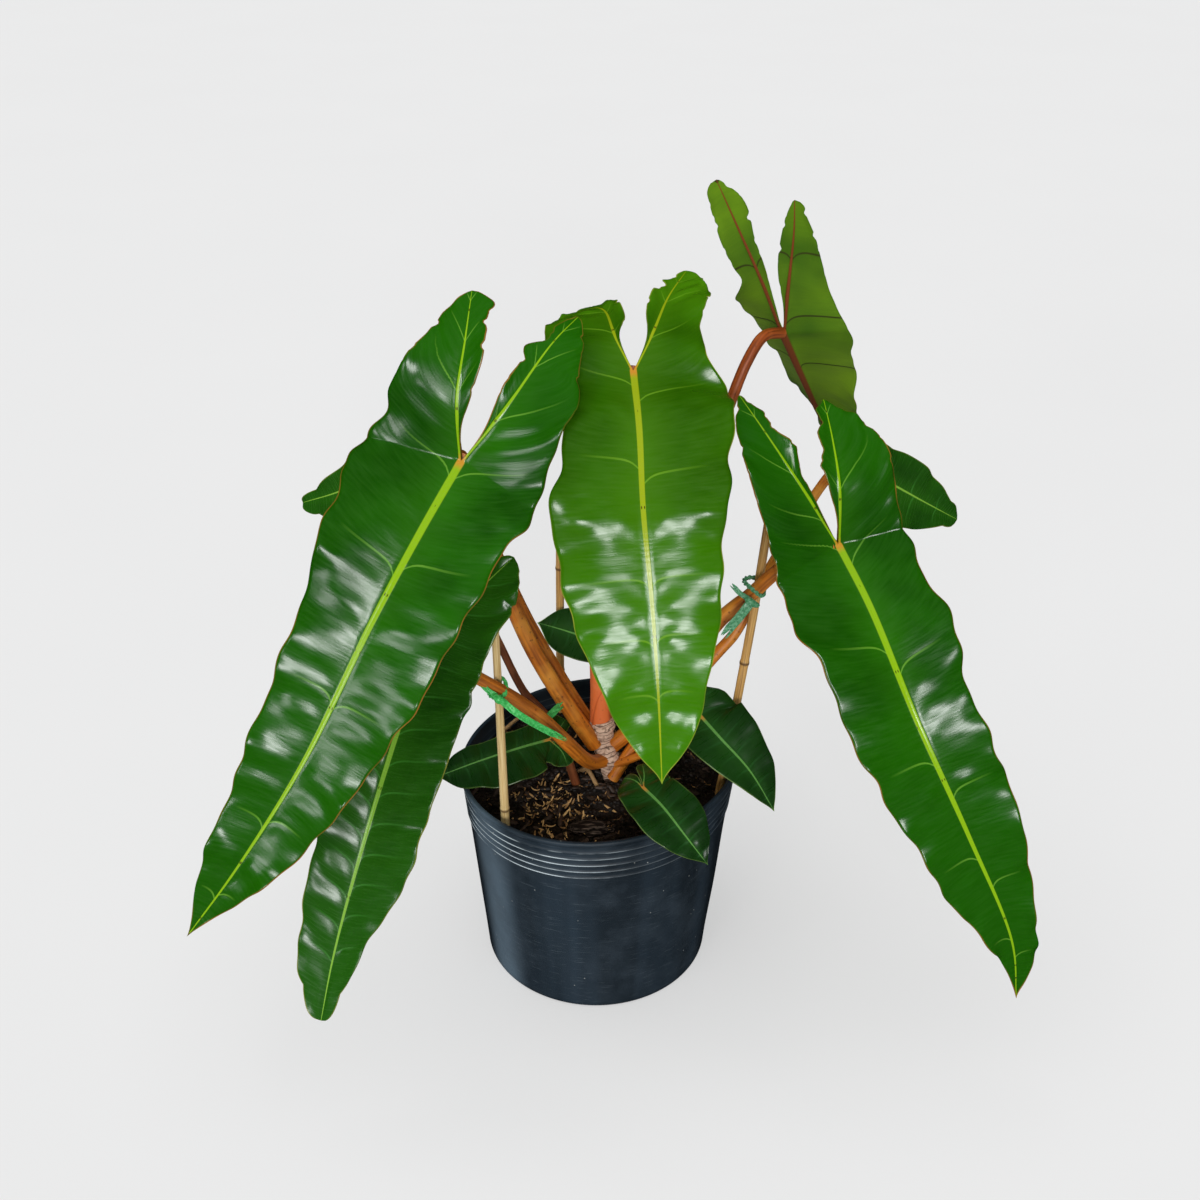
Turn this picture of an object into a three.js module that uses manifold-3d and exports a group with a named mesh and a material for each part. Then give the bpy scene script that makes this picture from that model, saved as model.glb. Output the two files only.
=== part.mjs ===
// A potted philodendron billietiae: long strap-like leaves with two lobes at the stalk,
// on orange-brown stalks that leave one short ringed stem, in a soft round nursery pot.
// Millimetres, +Z up. The origin is the middle of the pot's base, on the ground.
import * as THREE from "three";
import { mergeVertices } from "three/addons/utils/BufferGeometryUtils.js";
import Module from "manifold-3d";

const wasm = await Module();
wasm.setup();

// Driving dimensions of the pot, a 20 cm nursery pot squeezed slightly out of round.
const POT_HEIGHT = 172;
const RIM_RADIUS = 100;
const BASE_RADIUS = 85;
const WALL = 1.8;
const BASE_THICKNESS = 2.4;
const RIM_BEAD = 1.6;
const BEAD_HEIGHT = 3;
const BEAD_NECK = 1.5; // height over which the wall widens into the bead
const FOOT_CHAMFER = 3;
const FOOT_HEIGHT = 2;
const INNER_CHAMFER = 2;
const POT_SIDES = 40;
const WALL_LEVELS = [35, 70, 105, 130]; // heights where the wall follows its curve
const SQUEEZE = 0.05; // share by which the rim is longer one way and shorter the other
const SQUEEZE_DIRECTION = THREE.MathUtils.degToRad(42);
const RIM_LEAN = 3.5; // how far the rim's middle stands off towards +X
const RING_COUNT = 5;
const RING_TOP = 162;
const RING_PITCH = 6;
const RING_HEIGHT = 0.7;
const RING_WIDTH = 1.6;
const DRAIN_HOLES = 6;
const DRAIN_RADIUS = 6;
const DRAIN_CIRCLE = 58;
const DRAIN_SIDES = 10;
const DRILL_LENGTH = 20;

// The compost: level near the wall, with a low mound at the foot of the stem.
const SOIL_EDGE = 152;
const SOIL_MOUND = 10;
const MOUND_RADIUS = 44;
const CLOD_HEIGHT = 1.1;
const CLOD_WAVES = [0.21, 0.17, 0.12, 0.31]; // radians per mm, across and back
const SOIL_RINGS = 4;
const FACET_ROOM = 0.4; // extra room for the flat facets of the pot's wall

// What every blade shares.
const CLEARANCE = 0.3;
const SLIVER = 0.05; // edges shorter than this are closed up after a cut
const WELD = 0.02; // corners of a blade closer than this are one corner
const BLADE_THICKNESS = 1.1;
const RIB_DEPTH = 3.2; // how far the midrib stands out of the underside at the stalk
const RIB_HALF_WIDTH = 4;
const FRAME_SHARE = 0.13; // the bend at the stalk is spread over this share of the midrib
const STALK_SIDES = 8;
const LOBE_ROUNDING = 0.15; // share of a lobe's length over which its end is rounded off
const TIP_CROWDING = 0.55; // how much closer the cross rows stand towards a tip
const RIB_SHARE = 0.3; // the rib is never wider than this share of a half
const LOBE_RIB = 0.6; // depth of a lobe's vein as a share of the midrib's
const SMALL_SIZE = 0.5; // leaves below this size have fewer rows across
const FULL_SIZE = 300; // length of a blade whose midrib has its full thickness
const RIPPLE_SHARE = 0.3; // a half ripples fully once it is wider than this share of its widest
const STALK_STEP = 24; // length between two rings of a stalk

const ORANGE_BROWN = 0xb5651d;
const CORAL = 0xe0703a;
const RED_BROWN = 0x8a4a28;
const BAMBOO = 0xd9b77a;
const RAFFIA = 0x4fbf5a;
const SLATE = 0x2f3a44;
const COMPOST = 0x241c16;
const PALE_BARK = 0xc9a58c;
const STRAW = 0xb08a5c;

// Each leaf is given by hand-set points, in mm. midrib runs from the stalk to the tip, and lobes
// holds the veins of the leaf's left and right lobes, from the stalk to the lobe's end, as seen
// on the upper face with the tip down. face and lobeFace are the ways that the upper face looks:
// at the stalk, half way and at the tip, and at the two lobes' ends. blade, lobeOuter and
// lobeInner are half widths, evenly spaced along the midrib and the lobe veins, left then right.
// fold is the angle at which a half leaves the rib, at the lobe's end, the stalk and the tip, and
// curl the turn per 100 mm of width at the same places, in degrees. wave is the ripple of the
// margin: height, number and phase.
const LEAVES = [
  {
    name: "leaf_left_front",
    colour: 0x3f8f14,
    midrib: [[-79, -80, 448], [-102, -112, 417], [-128, -138, 376], [-173, -170, 294],
      [-216, -190, 230], [-251, -200, 183]],
    lobes: [
      [[-79, -80, 448], [-80, -75, 485], [-75, -60, 516], [-72, -35, 537]],
      [[-79, -80, 448], [-54, -75, 477], [-25, -50, 510], [-10, -30, 519]],
    ],
    face: [[-0.1, -0.85, 0.5], [-0.05, -0.86, 0.45], [0, -0.9, 0.35]],
    lobeFace: [[-0.2, -0.6, 0.8], [0.1, -0.6, 0.8]],
    blade: [[59, 58, 51, 43, 39, 37, 31, 25, 16, 0], [55, 50, 49, 48, 45, 38, 33, 25, 13, 0]],
    lobeOuter: [[59, 46, 40, 31, 19, 8], [55, 45, 38, 33, 19, 8]],
    lobeInner: [[0, 2, 9, 13, 12, 8], [0, 2, 8, 9, 7, 4]],
    fold: [8, 12, 10],
    curl: [25, 25, 25],
    wave: [2.5, 5, 0.1],
    steps: [20, 6],
    stalk: {
      route: [[-1, -12, 190], [-17, -20, 224], [-43, -24, 279], [-60, -27, 330], [-76, -34, 392],
        [-82, -52, 436], [-79, -79, 448]],
      radius: [6.2, 5.2, 4.6],
      colour: ORANGE_BROWN,
    },
  },
  {
    name: "leaf_centre",
    colour: 0x5da80c,
    midrib: [[23, -41, 489], [26, -80, 468], [28, -111, 432], [33, -136, 386],
      [37, -158, 337], [40, -173, 280]],
    lobes: [
      [[23, -41, 489], [13, -25, 503], [5, 18, 506], [-13, 61, 489]],
      [[23, -41, 489], [34, -25, 505], [45, 13, 515], [59, 56, 519]],
    ],
    face: [[0, -0.75, 0.65], [0, -0.88, 0.45], [0, -0.96, 0.28]],
    lobeFace: [[-0.2, -0.1, 1], [0.1, -0.1, 1]],
    blade: [[50, 45, 46, 53, 53, 49, 42, 32, 19, 0], [57, 57, 54, 50, 45, 41, 36, 28, 19, 0]],
    lobeOuter: [[50, 43, 42, 38, 25, 14], [57, 36, 26, 25, 22, 13]],
    lobeInner: [[0, 2, 10, 11, 9, 5], [0, 2, 9, 11, 6, 4]],
    fold: [8, 10, 8],
    curl: [30, 35, 25],
    wave: [2.5, 5, 0.6],
    steps: [20, 6],
    stalk: {
      route: [[2, -6, 203], [3, -8, 244], [7, -10, 306], [13, -10, 380], [19, -11, 440],
        [22, -21, 478], [23, -40, 488]],
      radius: [5.4, 4.4, 4.2],
      colour: CORAL,
    },
  },
  {
    name: "leaf_right_front",
    colour: 0x2c8a12,
    midrib: [[157, -35, 367], [175, -70, 340], [202, -115, 285], [239, -140, 212],
      [276, -148, 131], [291, -140, 67]],
    lobes: [
      [[157, -35, 367], [130, -35, 409], [108, -20, 438], [92, 5, 454]],
      [[157, -35, 367], [155, -32, 406], [151, -15, 431], [147, 10, 449]],
    ],
    face: [[0.1, -0.8, 0.6], [0.1, -0.95, 0.2], [0.1, -0.98, 0.1]],
    lobeFace: [[0, -0.6, 0.8], [0.2, -0.6, 0.8]],
    blade: [[50, 52, 45, 44, 40, 34, 30, 20, 8, 0], [43, 41, 44, 37, 38, 35, 29, 19, 14, 0]],
    lobeOuter: [[50, 41, 34, 26, 17, 5], [43, 39, 38, 34, 24, 5]],
    lobeInner: [[0, 2, 5, 9, 6, 3], [0, 2, 7, 10, 8, 4]],
    fold: [8, 14, 10],
    curl: [25, 20, 20],
    wave: [2.5, 5, 0.3],
    steps: [20, 6],
    stalk: {
      route: [[12, -8, 186], [32, -8, 207], [59, -9, 251], [87, -10, 296], [105, -13, 316],
        [120, -19, 337], [137, -27, 356], [156, -34, 366]],
      radius: [6, 5.3, 4.4],
      colour: ORANGE_BROWN,
    },
  },
  {
    name: "leaf_left_low",
    colour: 0x2a6e14,
    midrib: [[-108, -88, 319], [-125, -114, 275], [-148, -146, 209], [-169, -172, 140],
      [-179, -188, 97]],
    lobes: [
      [[-108, -88, 319], [-117, -84, 347], [-121, -70, 364]],
      [[-108, -88, 319], [-87, -90, 347], [-68, -86, 367], [-50, -78, 382]],
    ],
    face: [[-0.3, -0.8, 0.5], [-0.25, -0.86, 0.4], [-0.2, -0.9, 0.3]],
    lobeFace: [[-0.3, -0.6, 0.8], [-0.1, -0.7, 0.7]],
    blade: [[30, 33, 34, 33, 31, 29, 26, 21, 0], [45, 43, 41, 39, 38, 32, 21, 14, 0]],
    lobeOuter: [[30, 28, 24, 18, 10], [45, 39, 32, 25, 15]],
    lobeInner: [[0, 3, 9, 8, 5], [0, 3, 9, 10, 6]],
    fold: [10, 15, 10],
    curl: [15, 15, 10],
    wave: [1.5, 6, 0.2],
    steps: [18, 5],
    stalk: {
      route: [[7, -14, 177], [-4, -28, 186], [-20, -52, 221], [-37, -67, 253], [-56, -75, 276],
        [-75, -80, 293], [-92, -84, 308], [-107, -87, 319]],
      radius: [5.4, 4.8, 4],
      colour: ORANGE_BROWN,
    },
  },
  {
    name: "leaf_right_back",
    colour: 0x4d8a1a,
    midrib: [[125, 60, 475], [158, 110, 403], [191, 160, 333], [220, 200, 252], [240, 222, 185]],
    lobes: [
      [[125, 60, 475], [127, 65, 510], [130, 80, 537], [131, 95, 554]],
      [[125, 60, 475], [105, 55, 519], [93, 65, 542], [78, 85, 570]],
    ],
    face: [[0.2, 0.75, 0.65], [0.4, 0.5, 0.9], [0.5, 0.4, 0.9]],
    lobeFace: [[0.1, 0.9, -0.3], [-0.1, 0.9, -0.3]],
    blade: [[43, 38, 31, 25, 23, 22, 19, 11, 0], [26, 30, 32, 31, 28, 24, 19, 11, 0]],
    lobeOuter: [[43, 32, 24, 18, 11, 5], [26, 25, 15, 14, 12, 8]],
    lobeInner: [[0, 2, 7, 9, 7, 3], [0, 2, 5, 7, 11, 5]],
    fold: [5, 12, 8],
    foldRight: [5, 33, 54],
    curl: [10, 10, 10],
    wave: [2.5, 5, 0.45],
    steps: [20, 6],
    stalk: {
      route: [[8, -2, 204], [31, 8, 266], [64, 22, 370], [86, 28, 430], [99, 36, 464],
        [110, 46, 478], [124, 59, 476]],
      radius: [5.2, 4, 3.7],
      colour: CORAL,
    },
  },
  {
    name: "leaf_left_back",
    colour: 0x2f7a16,
    midrib: [[-113, 50, 402], [-149, 74, 369], [-189, 104, 336], [-224, 130, 313]],
    lobes: [
      [[-113, 50, 402], [-107, 43, 412], [-102, 36, 419]],
      [[-113, 50, 402], [-102, 42, 393], [-93, 34, 380]],
    ],
    face: [[-0.59, -0.75, 0.15], [-0.62, -0.73, 0.2], [-0.64, -0.7, 0.25]],
    lobeFace: [[-0.6, -0.6, 0.3], [-0.5, -0.7, 0.3]],
    blade: [[16, 17, 19, 20, 18, 14, 9, 0], [24, 28, 30, 31, 29, 24, 15, 0]],
    lobeOuter: [[16, 13, 8], [24, 19, 10]],
    lobeInner: [[0, 4, 4], [0, 5, 5]],
    fold: [8, 10, 8],
    curl: [15, 15, 15],
    wave: [2, 4, 0.2],
    steps: [16, 5],
    stalk: {
      route: [[-2, -1, 196], [-13, 3, 214], [-26, 7, 237], [-48, 12, 281], [-67, 22, 324],
        [-86, 34, 368], [-103, 44, 393], [-112, 50, 401]],
      radius: [4.8, 4, 3.5],
      colour: ORANGE_BROWN,
    },
  },
  {
    name: "leaf_right_far",
    colour: 0x1f6a12,
    midrib: [[175, 60, 384], [205, 73, 361], [240, 91, 334], [272, 110, 309]],
    lobes: [
      [[175, 60, 384], [168, 57, 384], [160, 54, 381]],
      [[175, 60, 384], [171, 54, 396], [166, 49, 407]],
    ],
    face: [[0.55, -0.8, 0.15], [0.55, -0.8, 0.18], [0.6, -0.75, 0.25]],
    lobeFace: [[0.3, -0.9, 0.1], [0.5, -0.8, 0.3]],
    blade: [[20, 26, 29, 28, 25, 19, 11, 0], [18, 21, 23, 24, 22, 18, 11, 0]],
    lobeOuter: [[20, 13, 7], [18, 14, 8]],
    lobeInner: [[0, 4, 5], [0, 4, 4]],
    fold: [8, 10, 8],
    curl: [15, 15, 15],
    wave: [2, 3, 0.7],
    steps: [14, 5],
    stalk: {
      route: [[12, -19, 164], [27, -14, 188], [53, -10, 223], [85, -3, 262], [98, 3, 276],
        [113, 14, 304], [141, 34, 348], [160, 48, 373], [174, 59, 383]],
      radius: [4.6, 4, 3.4],
      colour: ORANGE_BROWN,
    },
  },
  {
    name: "leaf_small_left",
    colour: 0x2c6a22,
    midrib: [[-33, -22, 201], [-54, -32, 201], [-82, -42, 197], [-112, -50, 189]],
    lobes: [
      [[-33, -22, 201], [-26, -12, 204], [-22, -4, 206]],
      [[-33, -22, 201], [-24, -30, 196], [-20, -38, 190]],
    ],
    face: [[-0.05, -0.45, 0.9], [-0.1, -0.45, 0.9], [-0.3, -0.45, 0.85]],
    lobeFace: [[0.2, -0.45, 0.9], [0.2, -0.4, 0.9]],
    blade: [[16, 15, 14, 13, 13, 11, 0], [18, 24, 27, 26, 22, 15, 0]],
    lobeOuter: [[16, 14, 8], [18, 15, 9]],
    lobeInner: [[0, 5, 6], [0, 5, 6]],
    fold: [5, 8, 5],
    curl: [15, 15, 15],
    wave: [1, 3, 0.2],
    steps: [10, 4],
    stalk: {
      route: [[-16, -8, 156], [-22, -14, 179], [-28, -19, 194], [-33, -22, 200]],
      radius: [3, 2.4, 2],
      colour: RED_BROWN,
    },
  },
  {
    name: "leaf_small_front",
    colour: 0x1f5c20,
    midrib: [[33, -60, 188], [46, -76, 184], [61, -92, 172], [77, -98, 151]],
    lobes: [
      [[33, -60, 188], [27, -52, 188], [20, -46, 185]],
      [[33, -60, 188], [34, -48, 190], [33, -36, 190]],
    ],
    face: [[0, -0.5, 0.9], [0.1, -0.6, 0.8], [0.2, -0.8, 0.5]],
    lobeFace: [[-0.1, -0.4, 0.9], [0, -0.4, 0.9]],
    blade: [[19, 22, 22, 17, 9, 0], [20, 20, 22, 20, 13, 0]],
    lobeOuter: [[19, 17, 11], [20, 16, 8]],
    lobeInner: [[0, 4, 5], [0, 4, 5]],
    fold: [5, 8, 5],
    curl: [15, 15, 15],
    wave: [1, 3, 0.5],
    steps: [10, 4],
    stalk: {
      route: [[18, -34, 156], [22, -44, 172], [28, -53, 184], [33, -59, 187]],
      radius: [2.8, 2.4, 2],
      colour: RED_BROWN,
    },
  },
  {
    name: "leaf_small_right",
    colour: 0x17501a,
    midrib: [[73, -30, 228], [86, -45, 220], [106, -58, 202], [125, -64, 170]],
    lobes: [
      [[73, -30, 228], [62, -28, 230], [53, -26, 229]],
      [[73, -30, 228], [75, -22, 236], [76, -14, 242]],
    ],
    face: [[0.1, -0.75, 0.7], [0.2, -0.75, 0.7], [0.4, -0.75, 0.6]],
    lobeFace: [[0, -0.4, 0.9], [0, -0.4, 0.9]],
    blade: [[23, 22, 20, 17, 12, 6, 0], [28, 28, 26, 22, 17, 11, 0]],
    lobeOuter: [[23, 19, 11], [28, 24, 14]],
    lobeInner: [[0, 5, 6], [0, 5, 6]],
    fold: [5, 8, 5],
    curl: [15, 15, 15],
    wave: [1, 3, 0.3],
    steps: [11, 4],
    stalk: {
      route: [[15, -17, 175], [38, -26, 194], [58, -31, 213], [72, -31, 227]],
      radius: [3.2, 2.7, 2.4],
      colour: ORANGE_BROWN,
    },
  },
  {
    name: "leaf_small_back",
    colour: 0x12301a,
    midrib: [[14, 40, 237], [-4, 50, 240], [-24, 58, 243], [-44, 64, 246]],
    lobes: [
      [[14, 40, 237], [22, 34, 236], [30, 30, 234]],
      [[14, 40, 237], [20, 46, 240], [26, 52, 242]],
    ],
    face: [[0, -0.7, 0.7], [0, -0.7, 0.7], [0, -0.7, 0.7]],
    lobeFace: [[0, -0.7, 0.7], [0, -0.7, 0.7]],
    blade: [[15, 18, 20, 19, 14, 0], [14, 17, 19, 18, 13, 0]],
    lobeOuter: [[15, 12, 8], [14, 11, 8]],
    lobeInner: [[0, 4, 5], [0, 4, 5]],
    fold: [5, 8, 5],
    curl: [10, 10, 10],
    wave: [1, 2, 0.3],
    steps: [9, 4],
    stalk: {
      route: [[3, -7, 181], [6, 4, 188], [11, 21, 210], [14, 39, 236]],
      radius: [3, 2.6, 2.2],
      colour: ORANGE_BROWN,
    },
  },
  {
    name: "leaf_small_hidden",
    colour: 0x2c6a1c,
    midrib: [[-85, -54, 358], [-94, -60, 342], [-101, -60, 320], [-106, -56, 298]],
    lobes: [
      [[-85, -54, 358], [-87, -50, 368], [-86, -44, 376]],
      [[-85, -54, 358], [-78, -50, 366], [-70, -44, 370]],
    ],
    face: [[-0.2, -0.8, 0.5], [-0.2, -0.95, 0.2], [-0.2, -0.95, 0]],
    lobeFace: [[-0.2, -0.5, 0.8], [0, -0.5, 0.8]],
    blade: [[13, 16, 15, 12, 7, 0], [13, 16, 15, 12, 7, 0]],
    lobeOuter: [[13, 11, 7], [13, 11, 7]],
    lobeInner: [[0, 4, 4], [0, 4, 4]],
    fold: [5, 8, 5],
    curl: [10, 10, 10],
    wave: [1, 2, 0.1],
    steps: [9, 4],
    stalk: {
      route: [[-14, -17, 156], [-24, -22, 196], [-36, -28, 228], [-49, -36, 252], [-65, -46, 301],
        [-76, -50, 334], [-84, -53, 356]],
      radius: [3.4, 2.8, 2.4],
      colour: RED_BROWN,
    },
  },
];

// The stem, and the sticks and ties that hold up two of the stalks.
const STEM_ROUTE = [[10, -12, 140], [10, -12, 165], [8, -12, 180], [5, -10, 190], [5, -9, 199],
  [4, -7, 208]];
const STEM_RADIUS = [5, 4.6, 6.2, 6.8, 6.2, 8.6, 8.2];
const STEM_STEPS = 14;
const STEM_SIDES = 12;

const STICKS = [
  { name: "stick_left", route: [[-63, -66, 118], [-64, -69, 280], [-65, -71, 395]], radius: 3.3 },
  { name: "stick_middle", route: [[-29, 82, 105], [-28, 80, 190], [-26, 78, 345]], radius: 3.2 },
  { name: "stick_right", route: [[85, -26, 112], [90, -21, 150], [108, -8, 293], [118, 4, 385]],
    radius: 3.1 },
];

const STICK_STEPS = 7;
const STICK_SIDES = 8;

const TIES = [
  { name: "tie_left", centre: [-64, -74, 281], axis: [-0.43, -0.1, 0.9], radii: [8, 12],
    cross: [0.1, -1, -0.06],
    tail: [[-62, -86, 281], [-51, -90, 273], [-34, -79, 252], [-20, -66, 234]] },
  { name: "tie_right", centre: [108, -9, 321], axis: [0.39, 0, 0.92], radii: [7.2, 10.3],
    cross: [0.2, -1, 0],
    tail: [[104, -27, 319], [97, -29, 309], [86, -30, 294]] },
];
const RAFFIA_WIDTH = 5.5;
const RAFFIA_THICKNESS = 0.9;
const RAFFIA_STEPS = 8;
const RAFFIA_FRONT = [0, -0.85, 0.5]; // the way a tail's broad side looks
const LOOP_THICKNESS = 1.5;
const LOOP_POINTS = 12;
const LOOP_STEPS = 22;
const LOOP_SIDES = 6;
const LOOP_START = -Math.PI / 2 + 0.05; // just beside the knot
const LOOP_TWIST = 1.2; // how far the loop rises and falls along its axis

const TWIG = { route: [[-84, 14, 152], [-74, 39, 160], [-57, 58, 166]], radius: 1.7 };
const DRY_STALK = { route: [[-12, -3, 158], [-6, -14, 168], [2, -26, 160]], radius: 1.8 };
const TAIL_STRIP = [[-32, -60, 248], [-27, -48, 246], [-23, -37, 243]];
const LITTER_STEPS = 6;
const LITTER_SIDES = 6;
const LITTER_TAPER = 0.8;

const vector = (p) => new THREE.Vector3(...p);
const curveThrough = (points) =>
  new THREE.CatmullRomCurve3(points.map(vector), false, "centripetal");
const clamp = THREE.MathUtils.clamp;

// A smooth value between evenly spaced ones, for x from 0 to 1.
function along(values, x) {
  const last = values.length - 1;
  const q = clamp(x, 0, 1) * last;
  const k = Math.min(Math.floor(q), last - 1);
  const t = q - k;
  const [a, b, c, d] = [-1, 0, 1, 2].map((i) => values[clamp(k + i, 0, last)]);
  return 0.5 * (2 * b + (c - a) * t + (2 * a - 5 * b + 4 * c - d) * t * t
    + (3 * b - a - 3 * c + d) * t * t * t);
}

// A straight-line value between evenly spaced ones, for numbers or for vectors.
function between(values, x) {
  const q = clamp(x, 0, 1) * (values.length - 1);
  const k = Math.min(Math.floor(q), values.length - 2);
  const mix = (a, b) => a + (b - a) * (q - k);
  return Array.isArray(values[k]) ? values[k].map((a, i) => mix(a, values[k + 1][i]))
    : mix(values[k], values[k + 1]);
}

// The way a half of a blade leaves its rib at each place: one spine runs from the lobe's end
// (s below 0) past the stalk (s = 0) to the tip, and side is 0 for the left half, 1 for the right.
function halfFrame(leaf, side) {
  const lobe = curveThrough(leaf.lobes[side]);
  const midrib = curveThrough(leaf.midrib);
  const lobeLength = lobe.getLength();
  const bladeLength = midrib.getLength();
  const reach = FRAME_SHARE * bladeLength;
  const at = (s) => (s < 0 ? lobe.getPointAt(Math.min(1, -s / lobeLength))
    : midrib.getPointAt(Math.min(1, s / bladeLength)));
  const frame = (s) => {
    const tangent = at(Math.min(s + reach, bladeLength)).sub(at(Math.max(s - reach, -lobeLength)))
      .normalize();
    const face = s < 0 ? between([leaf.face[0], leaf.lobeFace[side]], -s / lobeLength)
      : between(leaf.face, s / bladeLength);
    const normal = vector(face);
    normal.addScaledVector(tangent, -normal.dot(tangent)).normalize();
    const out = normal.clone().cross(tangent).multiplyScalar(side ? 1 : -1);
    return { normal, out };
  };
  const fold = side && leaf.foldRight ? leaf.foldRight : leaf.fold;
  return { at, frame, fold, lobeLength, bladeLength };
}

// A point of the blade's middle surface, at the distance a from the rib, out of the full width w.
function bladePoint(leaf, half, s, a, w, inner) {
  const { normal, out } = half.frame(s);
  const x = s < 0 ? [-s / half.lobeLength, 1, 0] : [s / half.bladeLength, 1, 2];
  const mixed = (v, share) => v[1] + (v[x[2]] - v[1]) * share;
  const eased = s < 0 ? 1 - (1 - x[0]) ** 4 : x[0];
  const fold = THREE.MathUtils.degToRad(mixed(half.fold, eased));
  const turn = THREE.MathUtils.degToRad(mixed(leaf.curl, x[0])) / 100;
  const sideways = (Math.sin(fold) - Math.sin(fold - turn * a)) / turn;
  const raised = (Math.cos(fold - turn * a) - Math.cos(fold)) / turn;
  const [height, count, phase] = leaf.wave;
  const share = w > 0 ? a / w : 0;
  const lean = Math.min(1, w / (RIPPLE_SHARE * leaf.blade[0][0]));
  const ripple = height * lean * share * share
    * Math.sin(2 * Math.PI * ((count * s) / half.bladeLength + phase));
  return half.at(s)
    .addScaledVector(out, inner ? -sideways : sideways)
    .addScaledVector(normal, raised + ripple);
}

// Half width of a strip at s: the lobes' ends are rounded off.
function halfWidth(leaf, half, side, s, inner) {
  if (s >= 0) return inner ? 0 : Math.max(0, along(leaf.blade[side], s / half.bladeLength));
  const x = -s / half.lobeLength;
  const width = along((inner ? leaf.lobeInner : leaf.lobeOuter)[side], x);
  const end = Math.min(1, (1 - x) / LOBE_ROUNDING);
  return Math.max(0, width * Math.sqrt(Math.max(0, 1 - (1 - end) ** 2)));
}

// Places along a rib, closer together towards its end.
function stations(count, length) {
  return Array.from({ length: count + 1 }, (_, i) => {
    const u = i / count;
    const eased = Math.sin((u * Math.PI) / 2);
    return length * ((1 - TIP_CROWDING) * u + TIP_CROWDING * eased);
  });
}

// The middle surface of a blade as welded triangles, with the rib's extra depth at each corner.
function bladeSurface(leaf) {
  const corners = [];
  const depth = [];
  const triangles = [];
  const found = new Map();
  const corner = (p, extra) => {
    const key = p.toArray().map((v) => Math.round(v / WELD)).join();
    if (!found.has(key)) {
      found.set(key, corners.length);
      corners.push(p);
      depth.push(extra);
    }
    return found.get(key);
  };
  const strip = (side, places, inner) => {
    const half = halfFrame(leaf, side);
    const cuts = inner || leaf.size < SMALL_SIZE ? [0, 0.5, 1] : [0, 0.34, 0.68, 1];
    const rows = places.map((s) => {
      const w = halfWidth(leaf, half, side, s, inner);
      const ribEdge = Math.min(RIB_HALF_WIDTH * leaf.size, RIB_SHARE * w);
      const steps = inner ? cuts.map((c) => c * w)
        : [0, ribEdge, ...cuts.slice(1).map((c) => ribEdge + (w - ribEdge) * c)];
      const fade = s < 0 ? 1 + s / half.lobeLength : 1 - s / half.bladeLength;
      return steps.map((a, i) => corner(bladePoint(leaf, half, s, a, w, inner),
        i ? 0 : RIB_DEPTH * leaf.size * Math.max(0, fade) * (s < 0 ? LOBE_RIB : 1)));
    });
    const turned = (side === 1) === inner;
    rows.slice(1).forEach((row, r) => {
      row.slice(1).forEach((_, c) => {
        const quad = [rows[r][c], rows[r][c + 1], row[c + 1], row[c]];
        [[quad[0], quad[1], quad[2]], [quad[0], quad[2], quad[3]]].forEach((t) => {
          if (new Set(t).size === 3) triangles.push(turned ? t.slice().reverse() : t);
        });
      });
    });
  };
  [0, 1].forEach((side) => {
    const { lobeLength, bladeLength } = halfFrame(leaf, side);
    const lobePlaces = stations(leaf.steps[1], lobeLength).map((s) => -s).reverse();
    const bladePlaces = stations(leaf.steps[0], bladeLength);
    strip(side, [...lobePlaces, ...bladePlaces.slice(1)], false);
    strip(side, lobePlaces, true);
  });
  return { corners, depth, triangles };
}

// A closed blade: the middle surface moved out to both faces, with the rib on the underside.
function bladeSolid(leaf, grow = 0) {
  const { corners, depth, triangles } = bladeSurface(leaf);
  const normals = corners.map(() => new THREE.Vector3());
  triangles.forEach((t) => {
    const [a, b, c] = t.map((i) => corners[i]);
    const n = b.clone().sub(a).cross(c.clone().sub(a));
    t.forEach((i) => normals[i].add(n));
  });
  normals.forEach((n) => n.normalize());
  const edges = new Set(triangles.flatMap(([a, b, c]) => [[a, b], [b, c], [c, a]].map(String)));
  const margin = [...edges].map((edge) => edge.split(",").map(Number))
    .filter(([a, b]) => !edges.has(`${b},${a}`));
  const outwards = corners.map(() => new THREE.Vector3());
  margin.forEach(([a, b]) => {
    const out = corners[b].clone().sub(corners[a]).cross(normals[a]).normalize();
    outwards[a].add(out);
    outwards[b].add(out);
  });
  outwards.forEach((o) => o.setLength(o.length() > 0 ? grow : 0));
  const count = corners.length;
  const positions = [];
  const shift = (sign) => corners.forEach((p, i) => {
    const away = BLADE_THICKNESS / 2 + grow + (sign < 0 ? depth[i] : 0);
    positions.push(...p.clone().add(outwards[i]).addScaledVector(normals[i], sign * away));
  });
  shift(1);
  shift(-1);
  const faces = triangles.flat();
  triangles.forEach(([a, b, c]) => faces.push(c + count, b + count, a + count));
  margin.forEach(([a, b]) => faces.push(b, a, a + count, b, a + count, b + count));
  return solid(new THREE.BufferGeometry()
    .setAttribute("position", new THREE.Float32BufferAttribute(positions, 3))
    .setIndex(faces));
}

// A geometry as a solid that can be cut and joined.
function solid(geometry) {
  const bare = new THREE.BufferGeometry()
    .setAttribute("position", geometry.getAttribute("position"))
    .setIndex(geometry.index);
  const merged = mergeVertices(bare, 1e-3);
  return new wasm.Manifold(new wasm.Mesh({
    numProp: 3,
    vertProperties: new Float32Array(merged.getAttribute("position").array),
    triVerts: new Uint32Array(merged.index.array),
  }));
}

function geometryOf(body) {
  const mesh = body.getMesh();
  return new THREE.BufferGeometry()
    .setAttribute("position", new THREE.BufferAttribute(mesh.vertProperties.slice(), 3))
    .setIndex(new THREE.BufferAttribute(mesh.triVerts.slice(), 1));
}

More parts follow.
